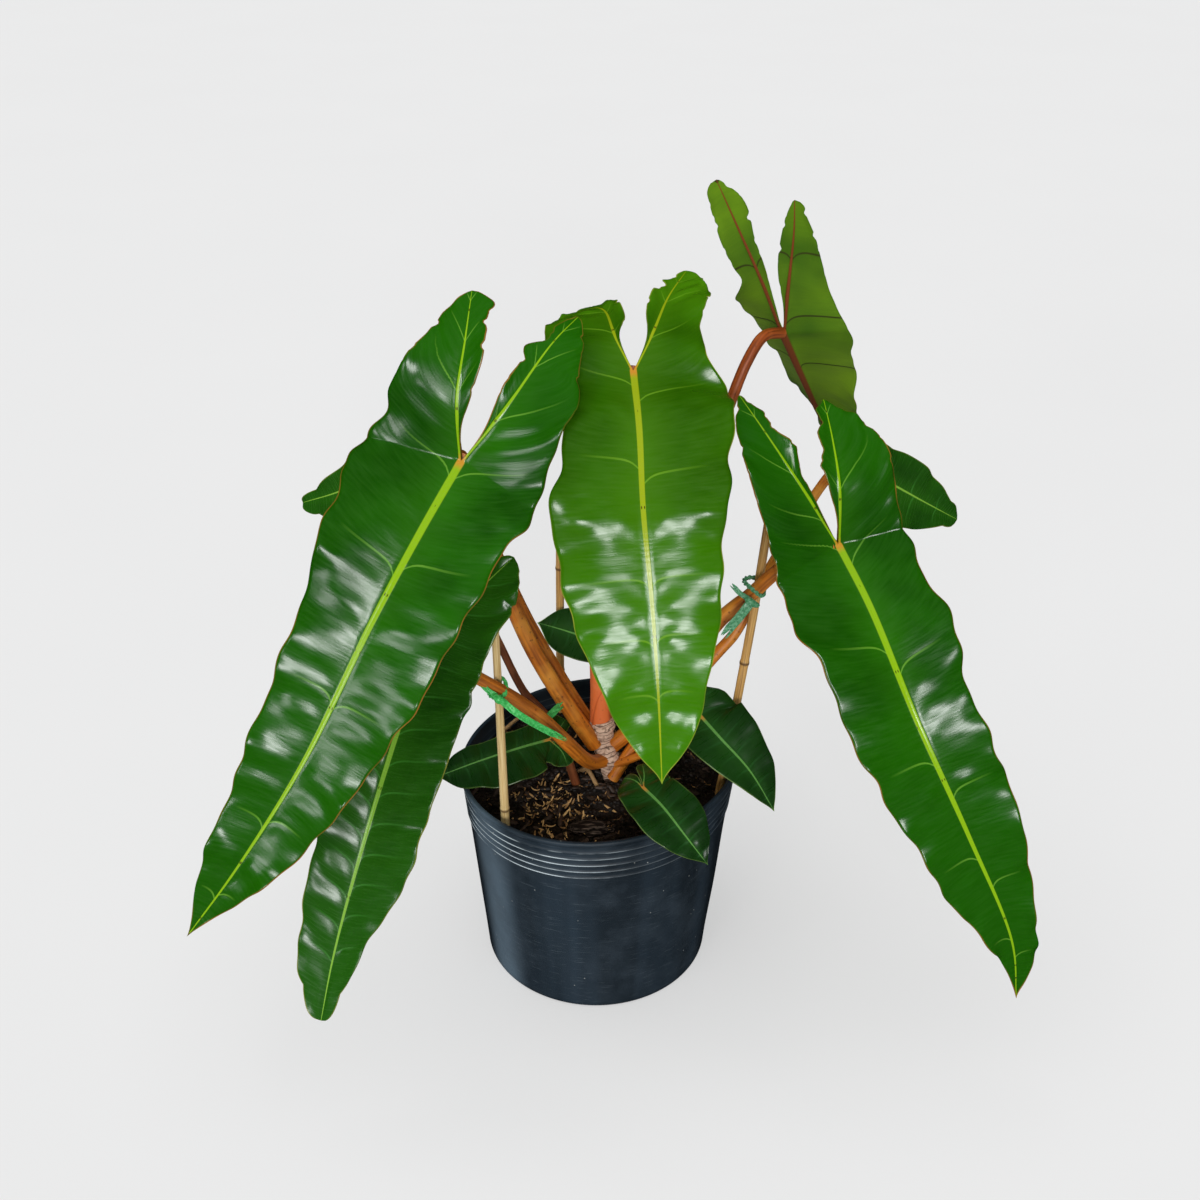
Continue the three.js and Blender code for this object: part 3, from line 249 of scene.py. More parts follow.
LEAVES = [
    measured(
        "left_front", "leaf_green", "stalk_orange", [6.2, 5.2, 4.6],
        route=[[-1, -12, 190], [-17, -20, 224], [-43, -24, 279], [-60, -27, 330], [-76, -34, 392],
               [-82, -52, 436], [-79, -79, 448]],
        midrib=[[-79, -80, 448], [-102, -112, 417], [-128, -138, 376], [-173, -170, 294],
                [-216, -190, 230], [-251, -200, 183]],
        lobes=[[[-80, -75, 485], [-75, -60, 516], [-72, -35, 537]],
               [[-54, -75, 477], [-25, -50, 510], [-10, -30, 519]]],
        face=[[-0.1, -0.85, 0.5], [-0.05, -0.86, 0.45], [0, -0.9, 0.35]],
        lobe_face=[[-0.2, -0.6, 0.8], [0.1, -0.6, 0.8]],
        blade=[[59, 58, 51, 43, 39, 37, 31, 25, 16, 0], [55, 50, 49, 48, 45, 38, 33, 25, 13, 0]],
        lobe_outer=[[59, 46, 40, 31, 19, 8], [55, 45, 38, 33, 19, 8]],
        lobe_inner=[[0, 2, 9, 13, 12, 8], [0, 2, 8, 9, 7, 4]],
        fold=[8, 12, 10], curl=[25, 25, 25], wave=[2.5, 5, 0.1],
        veins=[[-98, -72, -43, 11, 79, 163, 253, 310], [-100, -72, -33, 11, 73, 166, 248, 306]],
        relief=[0.8, 1.3, 11]),
    measured(
        "centre", "leaf_bright", "stalk_coral", [5.4, 4.4, 4.2],
        route=[[2, -6, 203], [3, -8, 244], [7, -10, 306], [13, -10, 380], [19, -11, 440],
               [22, -21, 478], [23, -40, 488]],
        midrib=[[23, -41, 489], [26, -80, 468], [28, -111, 432], [33, -136, 386], [37, -158, 337],
                [40, -173, 280]],
        lobes=[[[13, -25, 503], [5, 18, 506], [-13, 61, 489]],
               [[34, -25, 505], [45, 13, 515], [59, 56, 519]]],
        face=[[0, -0.75, 0.65], [0, -0.88, 0.45], [0, -0.96, 0.28]],
        lobe_face=[[-0.2, -0.1, 1], [0.1, -0.1, 1]],
        blade=[[50, 45, 46, 53, 53, 49, 42, 32, 19, 0], [57, 57, 54, 50, 45, 41, 36, 28, 19, 0]],
        lobe_outer=[[50, 43, 42, 38, 25, 14], [57, 36, 26, 25, 22, 13]],
        lobe_inner=[[0, 2, 10, 11, 9, 5], [0, 2, 9, 11, 6, 4]],
        fold=[8, 10, 8], curl=[30, 35, 25], wave=[2.5, 5, 0.6],
        veins=[[-92, -60, -30, 11, 68, 137, 172, 204], [-90, -62, -24, 24, 77, 137, 170, 202]],
        relief=[0.75, 1.2, 12]),
    measured(
        "right_front", "leaf_green", "stalk_orange", [6, 5.3, 4.4],
        route=[[12, -8, 186], [32, -8, 207], [59, -9, 251], [87, -10, 296], [105, -13, 316],
               [120, -19, 337], [137, -27, 356], [156, -34, 366]],
        midrib=[[157, -35, 367], [175, -70, 340], [202, -115, 285], [239, -140, 212],
                [276, -148, 131], [291, -140, 67]],
        lobes=[[[130, -35, 409], [108, -20, 438], [92, 5, 454]],
               [[155, -32, 406], [151, -15, 431], [147, 10, 449]]],
        face=[[0.1, -0.8, 0.6], [0.1, -0.95, 0.2], [0.1, -0.98, 0.1]],
        lobe_face=[[0, -0.6, 0.8], [0.2, -0.6, 0.8]],
        blade=[[50, 52, 45, 44, 40, 34, 30, 20, 8, 0], [43, 41, 44, 37, 38, 35, 29, 19, 14, 0]],
        lobe_outer=[[50, 41, 34, 26, 17, 5], [43, 39, 38, 34, 24, 5]],
        lobe_inner=[[0, 2, 5, 9, 6, 3], [0, 2, 7, 10, 8, 4]],
        fold=[8, 14, 10], curl=[25, 20, 20], wave=[2.5, 5, 0.3],
        veins=[[-104, -60, -22, 3, 78, 155, 228, 300], [-90, -39, 16, 93, 180, 252, 318]],
        relief=[0.42, 1.5, 13]),
    measured(
        "left_low", "leaf_deep", "stalk_orange", [5.4, 4.8, 4],
        route=[[7, -14, 177], [-4, -28, 186], [-20, -52, 221], [-37, -67, 253], [-56, -75, 276],
               [-75, -80, 293], [-92, -84, 308], [-107, -87, 319]],
        midrib=[[-108, -88, 319], [-125, -114, 275], [-148, -146, 209], [-169, -172, 140],
                [-179, -188, 97]],
        lobes=[[[-117, -84, 347], [-121, -70, 364]],
               [[-87, -90, 347], [-68, -86, 367], [-50, -78, 382]]],
        face=[[-0.3, -0.8, 0.5], [-0.25, -0.86, 0.4], [-0.2, -0.9, 0.3]],
        lobe_face=[[-0.3, -0.6, 0.8], [-0.1, -0.7, 0.7]],
        blade=[[30, 33, 34, 33, 31, 29, 26, 21, 0], [45, 43, 41, 39, 38, 32, 21, 14, 0]],
        lobe_outer=[[30, 28, 24, 18, 10], [45, 39, 32, 25, 15]],
        lobe_inner=[[0, 3, 9, 8, 5], [0, 3, 9, 10, 6]],
        fold=[10, 15, 10], curl=[15, 15, 10], wave=[1.5, 6, 0.2],
        veins=[[-48, -24, 0, 22, 44, 66, 86, 106, 127, 147, 168, 190, 212],
               [-60, -36, -12, 11, 33, 55, 76, 97, 118, 139, 160, 182, 206]],
        swing=[30, 26, 22, 14, 12, 8], blunt=22, pleated=True, relief=[0.9, 1.2, 14]),
    measured(
        "right_back", "leaf_green", "stalk_coral", [5.2, 4, 3.7],
        route=[[8, -2, 204], [31, 8, 266], [64, 22, 370], [86, 28, 430], [99, 36, 464],
               [110, 46, 478], [124, 59, 476]],
        midrib=[[125, 60, 475], [158, 110, 403], [191, 160, 333], [220, 200, 252],
                [240, 222, 185]],
        lobes=[[[127, 65, 510], [130, 80, 537], [131, 95, 554]],
               [[105, 55, 519], [93, 65, 542], [78, 85, 570]]],
        face=[[0.2, 0.75, 0.65], [0.4, 0.5, 0.9], [0.5, 0.4, 0.9]],
        lobe_face=[[0.1, 0.9, -0.3], [-0.1, 0.9, -0.3]],
        blade=[[43, 38, 31, 25, 23, 22, 19, 11, 0], [26, 30, 32, 31, 28, 24, 19, 11, 0]],
        lobe_outer=[[43, 32, 24, 18, 11, 5], [26, 25, 15, 14, 12, 8]],
        lobe_inner=[[0, 2, 7, 9, 7, 3], [0, 2, 5, 7, 11, 5]],
        fold=[5, 12, 8], fold_right=[5, 33, 54], curl=[10, 10, 10], wave=[2.5, 5, 0.45],
        veins=[[-49, -7, 40, 100, 170, 240], [-52, -6, 34, 100, 170, 240]],
        swing=[-5, -5, -4, -25, -25, -25], relief=[0.4, 1.3, 15]),
    measured(
        "left_back", "leaf_deep", "stalk_orange", [4.8, 4, 3.5],
        route=[[-2, -1, 196], [-13, 3, 214], [-26, 7, 237], [-48, 12, 281], [-67, 22, 324],
               [-86, 34, 368], [-103, 44, 393], [-112, 50, 401]],
        midrib=[[-113, 50, 402], [-149, 74, 369], [-189, 104, 336], [-224, 130, 313]],
        lobes=[[[-107, 43, 412], [-102, 36, 419]], [[-102, 42, 393], [-93, 34, 380]]],
        face=[[-0.59, -0.75, 0.15], [-0.62, -0.73, 0.2], [-0.64, -0.7, 0.25]],
        lobe_face=[[-0.6, -0.6, 0.3], [-0.5, -0.7, 0.3]],
        blade=[[16, 17, 19, 20, 18, 14, 9, 0], [24, 28, 30, 31, 29, 24, 15, 0]],
        lobe_outer=[[16, 13, 8], [24, 19, 10]], lobe_inner=[[0, 4, 4], [0, 5, 5]],
        fold=[8, 10, 8], curl=[15, 15, 15], wave=[2, 4, 0.2],
        veins=[[-10, 12, 42, 74, 104], [-14, 8, 38, 72, 104]],
        blunt=18, relief=[0.5, 1.0, 16]),
    measured(
        "right_far", "leaf_deep", "stalk_orange", [4.6, 4, 3.4],
        route=[[12, -19, 164], [27, -14, 188], [53, -10, 223], [85, -3, 262], [98, 3, 276],
               [113, 14, 304], [141, 34, 348], [160, 48, 373], [174, 59, 383]],
        midrib=[[175, 60, 384], [205, 73, 361], [240, 91, 334], [272, 110, 309]],
        lobes=[[[168, 57, 384], [160, 54, 381]], [[171, 54, 396], [166, 49, 407]]],
        face=[[0.55, -0.8, 0.15], [0.55, -0.8, 0.18], [0.6, -0.75, 0.25]],
        lobe_face=[[0.3, -0.9, 0.1], [0.5, -0.8, 0.3]],
        blade=[[20, 26, 29, 28, 25, 19, 11, 0], [18, 21, 23, 24, 22, 18, 11, 0]],
        lobe_outer=[[20, 13, 7], [18, 14, 8]], lobe_inner=[[0, 4, 5], [0, 4, 4]],
        fold=[8, 10, 8], curl=[15, 15, 15], wave=[2, 3, 0.7],
        veins=[[-10, 14, 44, 76, 104], [-14, 10, 42, 72, 104]],
        blunt=17, relief=[0.5, 1.0, 17]),
    measured(
        "small_left", "leaf_small", "stalk_red", [3, 2.4, 2],
        route=[[-16, -8, 156], [-22, -14, 179], [-28, -19, 194], [-33, -22, 200]],
        midrib=[[-33, -22, 201], [-54, -32, 201], [-82, -42, 197], [-112, -50, 189]],
        lobes=[[[-26, -12, 204], [-22, -4, 206]], [[-24, -30, 196], [-20, -38, 190]]],
        face=[[-0.05, -0.45, 0.9], [-0.1, -0.45, 0.9], [-0.3, -0.45, 0.85]],
        lobe_face=[[0.2, -0.45, 0.9], [0.2, -0.4, 0.9]],
        blade=[[16, 15, 14, 13, 13, 11, 0], [18, 24, 27, 26, 22, 15, 0]],
        lobe_outer=[[16, 14, 8], [18, 15, 9]], lobe_inner=[[0, 5, 6], [0, 5, 6]],
        fold=[5, 8, 5], curl=[15, 15, 15], wave=[1, 3, 0.2],
        relief=[0.8, 0.5, 18]),
    measured(
        "small_front", "leaf_small", "stalk_red", [2.8, 2.4, 2],
        route=[[18, -34, 156], [22, -44, 172], [28, -53, 184], [33, -59, 187]],
        midrib=[[33, -60, 188], [46, -76, 184], [61, -92, 172], [77, -98, 151]],
        lobes=[[[27, -52, 188], [20, -46, 185]], [[34, -48, 190], [33, -36, 190]]],
        face=[[0, -0.5, 0.9], [0.1, -0.6, 0.8], [0.2, -0.8, 0.5]],
        lobe_face=[[-0.1, -0.4, 0.9], [0, -0.4, 0.9]],
        blade=[[19, 22, 22, 17, 9, 0], [20, 20, 22, 20, 13, 0]],
        lobe_outer=[[19, 17, 11], [20, 16, 8]], lobe_inner=[[0, 4, 5], [0, 4, 5]],
        fold=[5, 8, 5], curl=[15, 15, 15], wave=[1, 3, 0.5],
        relief=[0.9, 0.5, 19]),
    measured(
        "small_right", "leaf_small", "stalk_orange", [3.2, 2.7, 2.4],
        route=[[15, -17, 175], [38, -26, 194], [58, -31, 213], [72, -31, 227]],
        midrib=[[73, -30, 228], [86, -45, 220], [106, -58, 202], [125, -64, 170]],
        lobes=[[[62, -28, 230], [53, -26, 229]], [[75, -22, 236], [76, -14, 242]]],
        face=[[0.1, -0.75, 0.7], [0.2, -0.75, 0.7], [0.4, -0.75, 0.6]],
        lobe_face=[[0, -0.4, 0.9], [0, -0.4, 0.9]],
        blade=[[23, 22, 20, 17, 12, 6, 0], [28, 28, 26, 22, 17, 11, 0]],
        lobe_outer=[[23, 19, 11], [28, 24, 14]], lobe_inner=[[0, 5, 6], [0, 5, 6]],
        fold=[5, 8, 5], curl=[15, 15, 15], wave=[1, 3, 0.3],
        relief=[0.4, 0.5, 20]),
    measured(
        "small_back", "leaf_small", "stalk_orange", [3, 2.6, 2.2],
        route=[[3, -7, 181], [6, 4, 188], [11, 21, 210], [14, 39, 236]],
        midrib=[[14, 40, 237], [-4, 50, 240], [-24, 58, 243], [-44, 64, 246]],
        lobes=[[[22, 34, 236], [30, 30, 234]], [[20, 46, 240], [26, 52, 242]]],
        face=[[0, -0.7, 0.7], [0, -0.7, 0.7], [0, -0.7, 0.7]],
        lobe_face=[[0, -0.7, 0.7], [0, -0.7, 0.7]],
        blade=[[15, 18, 20, 19, 14, 0], [14, 17, 19, 18, 13, 0]],
        lobe_outer=[[15, 12, 8], [14, 11, 8]], lobe_inner=[[0, 4, 5], [0, 4, 5]],
        fold=[5, 8, 5], curl=[10, 10, 10], wave=[1, 2, 0.3],
        relief=[0.4, 0.5, 21]),
    measured(
        "small_hidden", "leaf_small", "stalk_red", [3.4, 2.8, 2.4],
        route=[[-14, -17, 156], [-24, -22, 196], [-36, -28, 228], [-49, -36, 252], [-65, -46, 301],
               [-76, -50, 334], [-84, -53, 356]],
        midrib=[[-85, -54, 358], [-94, -60, 342], [-101, -60, 320], [-106, -56, 298]],
        lobes=[[[-87, -50, 368], [-86, -44, 376]], [[-78, -50, 366], [-70, -44, 370]]],
        face=[[-0.2, -0.8, 0.5], [-0.2, -0.95, 0.2], [-0.2, -0.95, 0]],
        lobe_face=[[-0.2, -0.5, 0.8], [0, -0.5, 0.8]],
        blade=[[13, 16, 15, 12, 7, 0], [13, 16, 15, 12, 7, 0]],
        lobe_outer=[[13, 11, 7], [13, 11, 7]], lobe_inner=[[0, 4, 4], [0, 4, 4]],
        fold=[5, 8, 5], curl=[10, 10, 10], wave=[1, 2, 0.1],
        relief=[0.5, 0.5, 22]),
]
print("leaves:", len(LEAVES))

# %% [markdown]
# ## The shape of a blade
# A blade hangs from its spine: the vein of a lobe, from the lobe's end to the stalk, and then
# the midrib to the tip. At each place the two halves leave the spine at a fold angle and curl
# over in an arc. Listed half widths give the outline, so mesh code suits this better than a
# modifier: a grid of rows along the spine and columns across it, from the rule of the CAD
# blade but far denser. On that grid lie the finer forms: pleats between the side veins, small
# waves at the margin, a nibbled edge at the lobes' ends, and a groove along each side vein.

# %% The spine of a half, and the places of its rows
ROW_GAP = 1.6         # between two rows of the grid
FRAME_SHARE = 0.13    # the bend at the stalk is spread over this share of the midrib
TIP_CROWDING = 0.4    # how much closer the rows stand towards a tip
LOBE_ROUNDING = 0.15  # share of a lobe over which its end is rounded off
FULL_SIZE = 300       # length of a blade whose midrib has its full thickness


def spine_of(leaf, side):
    """Places along one half's spine, from the lobe's end to the tip, with both lengths."""
    lobe, lobe_length = smooth_path(leaf.lobes[side], 300)
    midrib, length = smooth_path(leaf.midrib, 600)
    s = np.concatenate([-np.linspace(lobe_length, 0, 301)[:-1], np.linspace(0, length, 601)])
    return s, np.vstack([lobe[::-1][:-1], midrib]), lobe_length, length


def row_places(length):
    """Places along a rib, closer together towards its end."""
    u = np.linspace(0, 1, max(6, round(length / ROW_GAP)) + 1)
    return length * ((1 - TIP_CROWDING) * u + TIP_CROWDING * np.sin(u * np.pi / 2))


def half_width(leaf, side, s, lobe_length, length, inner):
    """Half width of a strip at s, in mm, with the lobe's end rounded off."""
    x = np.clip(-s / lobe_length, 0, 1)
    on_lobe = smooth_values((leaf.lobe_inner if inner else leaf.lobe_outer)[side], x)
    end = np.minimum(1, (1 - x) / LOBE_ROUNDING)
    on_lobe = on_lobe * np.sqrt(np.clip(1 - (1 - end) ** 2, 0, 1))
    on_blade = 0 * s if inner else smooth_values(leaf.blade[side], s / length)
    return np.maximum(0, np.where(s < 0, on_lobe, on_blade))


def uneven_waves(x, lengths, seed):
    """A sum of sines of the given lengths with seeded phases, between about -1 and 1."""
    phases = np.random.default_rng(seed).uniform(0, 2 * np.pi, len(lengths))
    waves = [np.sin(2 * np.pi * x / length + p) for length, p in zip(lengths, phases)]
    return sum(waves) / len(lengths) ** 0.5


print("rows on a midrib of 300 mm:", len(row_places(300)))

# %% [markdown]
# The width comes first, with the marks that make this plant's lobes ragged, then the columns,
# then the height of every point over the flat strip. Waves are sums of a few sines of uneven
# lengths, so they never quite repeat.

# %% One strip of a blade as a grid
# For a strip of a lobe: the share of the way out to the lobe's end, the growth in mm, the reach.
EDGE_MARKS = {
    ("left_front", 0, True): [(0.93, 7, 0.05), (0.8, -1.5, 0.03)],
    ("left_front", 1, True): [(0.68, 4, 0.04), (0.78, -3, 0.04)],
    ("centre", 0, True): [(0.93, 3, 0.05)],
    ("centre", 1, True): [(0.8, 4, 0.03), (0.71, -3, 0.04)],
    ("right_front", 0, True): [(0.85, 2.5, 0.04), (0.72, -1.5, 0.04), (0.6, 3, 0.05),
                               (0.45, -1.5, 0.04)],
    ("right_front", 1, True): [(0.92, 3, 0.03), (0.83, -2, 0.03), (0.74, 2.5, 0.03),
                               (0.64, -2, 0.03), (0.54, 2, 0.03)],
    ("right_back", 0, False): [(0.96, 2.5, 0.05)],
    ("right_back", 1, False): [(0.3, 4, 0.05), (0.42, -3, 0.05), (0.96, 2.5, 0.05)],
}
RIB_HALF = [2.6, 1.7, 0.9, 0.35]   # half width of the midrib at 0, 50, 80 and 100 % of it
LOBE_RIB_HALF = [1.5, 0.2]         # and of a lobe's vein, at the stalk and at its end
RIB_COLUMNS = [0, 0.35, 0.7, 1, 1.35]
OPEN_COLUMNS = {False: 19, True: 8}
FOLD_SMOOTHING = 12   # mm over which the fold passes from the lobe to the blade
RIPPLE_SHARE = 0.3    # a half ripples fully once it is wider than this share of its widest
QUILTING = 0.8        # how much the skin swells between two side veins, for a relief of 1 mm
NARROW_TIP = 25       # where a half is narrower than this, its veins no longer swing
VEIN_JOINT = 6        # how far a side vein runs beside the midrib before it turns out
GROOVE_WIDTH = 1.8    # from the middle of a vein's groove to its side


def nibbled(leaf, side, inner, s, w, lobe_length):
    """The half width with small waves, nibbles at the lobe's end and the leaf's own marks."""
    small_waves, seed = leaf.relief[1], leaf.relief[2] * 10 + side * 2 + inner
    fringe = uneven_waves(s, [64, 41, 27], seed)
    nibbles = np.minimum(0, uneven_waves(s, [23, 14, 8], seed + 500) + 0.3)
    near_end = ramp(-s / lobe_length, 0.1 if inner else 0.35, 0.8)
    ragged = w * (1 + 0.02 * small_waves * fringe) + nibbles * near_end * np.minimum(1.8, w / 5)
    for place, growth, reach in EDGE_MARKS.get((leaf.name, side, inner), []):
        ragged = ragged + growth * (s < 0) * np.exp(-((-s / lobe_length - place) / reach) ** 2)
    return np.where(w > 0.3, np.maximum(ragged, 0.25), w)


def blade_strip(leaf, side, inner):
    """The middle surface of a strip, with what each of its points knows of its place."""
    s_fine, places, lobe_length, length = spine_of(leaf, side)
    on_lobe = -row_places(lobe_length)[::-1]
    s = on_lobe if inner else np.concatenate([on_lobe, row_places(length)[1:]])
    at = lambda x: np.stack([np.interp(x, s_fine, places[:, k]) for k in range(3)], -1)
    reach = FRAME_SHARE * length
    tangent = unit(at(np.minimum(s + reach, length)) - at(np.maximum(s - reach, -lobe_length)))
    face = np.array(leaf.face, float)
    lobe_face = np.array(leaf.lobe_face[side], float)
    to_lobe = face[0] + (lobe_face - face[0]) * np.clip(-s / lobe_length, 0, 1)[:, None]
    to_tip = np.stack([np.interp(s / length, [0, 0.5, 1], face[:, k]) for k in range(3)], -1)
    looks = np.where((s < 0)[:, None], to_lobe, to_tip)
    normal = unit(looks - tangent * (looks * tangent).sum(1, keepdims=True))
    out = np.cross(normal, tangent) * (1 if side else -1)

    relief, small_waves, seed = leaf.relief
    size = min(1, length / FULL_SIZE)
    w = half_width(leaf, side, s, lobe_length, length, inner)
    if leaf.blunt and not inner:
        late = np.clip(1 - (length - s) / leaf.blunt, 0, 1)
        w = np.where(late > 0, np.interp(length - leaf.blunt, s, w) * np.sqrt(1 - late ** 2), w)
    w = nibbled(leaf, side, inner, s, w, lobe_length)
    wide_at = lambda full: np.minimum(1, w / full)[:, None]

    rib = np.where(s < 0, np.interp(-s / lobe_length, [0, 1], LOBE_RIB_HALF),
                   np.interp(np.clip(s / length, 0, 1), [0, 0.5, 0.8, 1], RIB_HALF))
    rib = np.minimum(rib * max(size, 0.45), 0.3 * w)
    spread = np.linspace(0, 1, OPEN_COLUMNS[inner] + 1)[1:]
    edge = RIB_COLUMNS[-1] * rib[:, None]
    a = np.hstack([rib[:, None] * RIB_COLUMNS, edge + (w[:, None] - edge) * spread])

    x = np.clip(np.where(s < 0, -s / lobe_length, s / length), 0, 1)[:, None]
    lobe_side = (s < 0)[:, None]
    toward = lambda v, q: v[1] + (np.where(lobe_side, v[0], v[2]) - v[1]) * q
    fold_values = leaf.fold_right if side else leaf.fold
    fold = np.radians(toward(fold_values, np.where(lobe_side, 1 - (1 - x) ** 4, x)))
    close_by = np.exp(-((s[:, None] - s) / FOLD_SMOOTHING) ** 2)
    fold = close_by @ fold / close_by.sum(1, keepdims=True)
    turn = np.radians(toward(leaf.curl, x)) / 100
    sideways = (np.sin(fold) - np.sin(fold - turn * a)) / turn
    raised = (np.cos(fold - turn * a) - np.cos(fold)) / turn

    across = a / np.maximum(w, 1e-6)[:, None]
    height, count, phase = leaf.wave
    ripple = height * wide_at(RIPPLE_SHARE * leaf.blade[0][0]) * across ** 2 * np.sin(
        2 * np.pi * (count * s / length + phase))[:, None]

    swing_at = [-lobe_length, -0.38 * lobe_length, 0, 0.2 * length, 0.43 * length, length]
    swing = np.interp(s, swing_at, leaf.swing) * size
    out_share = a / np.maximum(w, NARROW_TIP * size)[:, None]
    joint = VEIN_JOINT * size * (1 - np.exp(-np.maximum(a - rib[:, None], 0) / 4))
    root = s[:, None] + swing[:, None] * out_share ** 1.3 + joint
    veins = leaf.veins[side]
    veins = np.concatenate([[veins[0] - 60], veins, [veins[-1] + 60]])
    numbers = np.arange(len(veins))
    vein_phase = np.interp(root, veins, numbers)
    vein_gap = np.interp(vein_phase, numbers[:-1] + 0.5, np.diff(veins))
    from_vein = np.abs(vein_phase - np.round(vein_phase)) * vein_gap
    groove = size * np.exp(-(from_vein / GROOVE_WIDTH) ** 2) * ramp(across, 0.95, 0.5) \
        * ramp(a, 0, 4)

    middle = ramp(across, 0.03, 0.3) * (1 - 0.45 * ramp(across, 0.75, 1.0))
    soft = uneven_waves(root, [34, 24, 17], seed) * (0.6 + 0.4 * uneven_waves(a, [38, 29], seed))
    swell = 0.5 - 0.5 * np.cos(2 * np.pi * vein_phase)
    if leaf.pleated:
        pleats = relief * middle * (1.5 * swell - 0.7 + 0.35 * soft) * wide_at(9)
    else:
        pleats = relief * middle * (0.9 * soft + QUILTING * (swell - 0.6)) * wide_at(22)
    frill = small_waves * ramp(across, 0.45, 1) ** 2 * wide_at(14) \
        * uneven_waves(root, [58, 37, 23], seed * 10 + side * 2 + inner + 90)
    lift = raised + ripple + pleats + frill

    points = at(s)[:, None] + out[:, None] * (sideways * (-1 if inner else 1))[..., None] \
        + normal[:, None] * lift[..., None]
    blank = np.zeros_like(a)
    knows = {
        "rib": a / np.maximum(rib, 1e-6)[:, None], "edge": w[:, None] - a,
        "across": a, "along": s[:, None] + blank, "share": across,
        "grain": root - joint, "vein_phase": vein_phase, "vein_gap": vein_gap,
        "groove": groove,
        "fade": np.where(s < 0, 1 + s / lobe_length, 1 - s / length)[:, None] + blank,
    }
    return points, knows, (side == 1) != inner


print("points on the first half blade:", blade_strip(LEAVES[0], 0, False)[0][..., 0].size)

# %% [markdown]
# ## A blade with two faces
# The four strips of a blade meet at its spine, so their shared corners are welded by place.
# Each corner then moves out to both faces along its normal. The upper face keeps a low round
# midrib and sinks a little over each side vein, and the lower face carries the thick rib and
# the raised veins, as a living leaf does. A narrow wall joins the two faces at the margin.
# What a corner knows of its place is stored as attributes, which the leaf's finish reads.

# %% Build a blade
BLADE_THICKNESS = 0.9
RIB_DEPTH = 2.6       # how far the midrib stands out of the underside at the stalk
RIB_CROWN = 0.7       # and how far it rises on the upper face
GROOVE_DEPTH = 0.3    # on the upper face; the ridge below is 1.3 times as high
KNOWN = ["rib", "edge", "across", "along", "share", "grain", "vein_phase", "vein_gap"]


def strips_of(leaf):
    """The corners, the knowledge and the quads of the four strips, not yet welded."""
    points, known, quads, start = [], [], [], 0
    for side, inner in ((0, False), (0, True), (1, False), (1, True)):
        grid, knows, turned_over = blade_strip(leaf, side, inner)
        rows, columns = grid.shape[:2]
        number = start + np.arange(rows * columns).reshape(rows, columns)
        quad = np.stack([number[:-1, :-1], number[:-1, 1:], number[1:, 1:], number[1:, :-1]],
                        -1).reshape(-1, 4)
        quads.append(quad[:, ::-1] if turned_over else quad)
        points.append(grid.reshape(-1, 3))
        known.append({k: v.reshape(-1) for k, v in knows.items()})
        start += rows * columns
    known = {k: np.concatenate([one[k] for one in known]) for k in known[0]}
    return np.vstack(points), known, np.vstack(quads)


def normals_of(corners, faces):
    """Directions away from the middle surface, weighted by the size of the faces."""
    normals = np.zeros_like(corners)
    for count in (3, 4):
        these = np.array([f for f in faces if len(f) == count], int).reshape(-1, count)
        cross = np.cross(corners[these[:, 1]] - corners[these[:, 0]],
                         corners[these[:, -1]] - corners[these[:, 0]])
        for k in range(count):
            np.add.at(normals, these[:, k], cross)
    return unit(normals)


def blade_piece(leaf, material):
    """One blade as a closed mesh with both faces and its attributes."""
    size = min(1, smooth_path(leaf.midrib, 100)[1] / FULL_SIZE)
    points, known, quads = strips_of(leaf)
    _, first, weld = np.unique(np.round(points, 3), axis=0, return_index=True,
                               return_inverse=True)
    weld = weld.reshape(-1)
    corners = points[first]
    faces, raw = [], []
    for quad in quads:
        ring, seen = [], []
        for corner in quad:
            if weld[corner] not in seen:
                seen.append(int(weld[corner]))
                ring.append(int(corner))
        if len(seen) > 2:
            faces.append(seen)
            raw.append(ring)

    normals = normals_of(corners, faces)
    here = SimpleNamespace(**{k: v[first] for k, v in known.items()})
    crown = np.clip(1 - here.rib ** 2 * 0.6, 0, 1) * (here.rib < 1.3)
    round_rib = np.sqrt(np.clip(1 - (here.rib / 1.1) ** 2, 0, 1))
    lobe_share = np.where(here.along < 0, 0.6, 1)
    half = BLADE_THICKNESS * (0.55 + 0.45 * ramp(here.edge, 0, 2.5)) / 2
    upper = half + RIB_CROWN * size * crown * here.fade - GROOVE_DEPTH * here.groove
    lower = half + RIB_DEPTH * size * round_rib * here.fade * lobe_share \
        + 1.3 * GROOVE_DEPTH * here.groove
    total = len(corners)
    both = np.vstack([corners + normals * upper[:, None], corners - normals * lower[:, None]])

    edges = {(a, b) for f in faces for a, b in zip(f, f[1:] + f[:1])}
    walls, wall_raw = [], []
    for face, ring in zip(faces, raw):
        for k, (a, b) in enumerate(zip(face, face[1:] + face[:1])):
            if (b, a) not in edges:
                ra, rb = ring[k], ring[(k + 1) % len(ring)]
                walls.append([b, a, a + total, b + total])
                wall_raw.append([rb, ra, ra, rb])
    under = [[i + total for i in reversed(f)] for f in faces]
    piece = mesh_piece("blade_" + leaf.name, both, faces + under + walls, material)
    loops = np.concatenate([np.concatenate(raw), np.concatenate([r[::-1] for r in raw]),
                            np.concatenate(wall_raw)])
    stored = {k: known[k][loops] for k in KNOWN}
    top = sum(map(len, faces))
    stored["under"] = np.concatenate([np.zeros(top), np.ones(top), np.zeros(4 * len(walls))])
    for name, values in stored.items():
        layer = piece.data.attributes.new(name, "FLOAT", "CORNER")
        layer.data.foreach_set("value", values.astype(np.float32))
    return piece


print("a corner of a blade knows:", ", ".join(KNOWN + ["under"]))

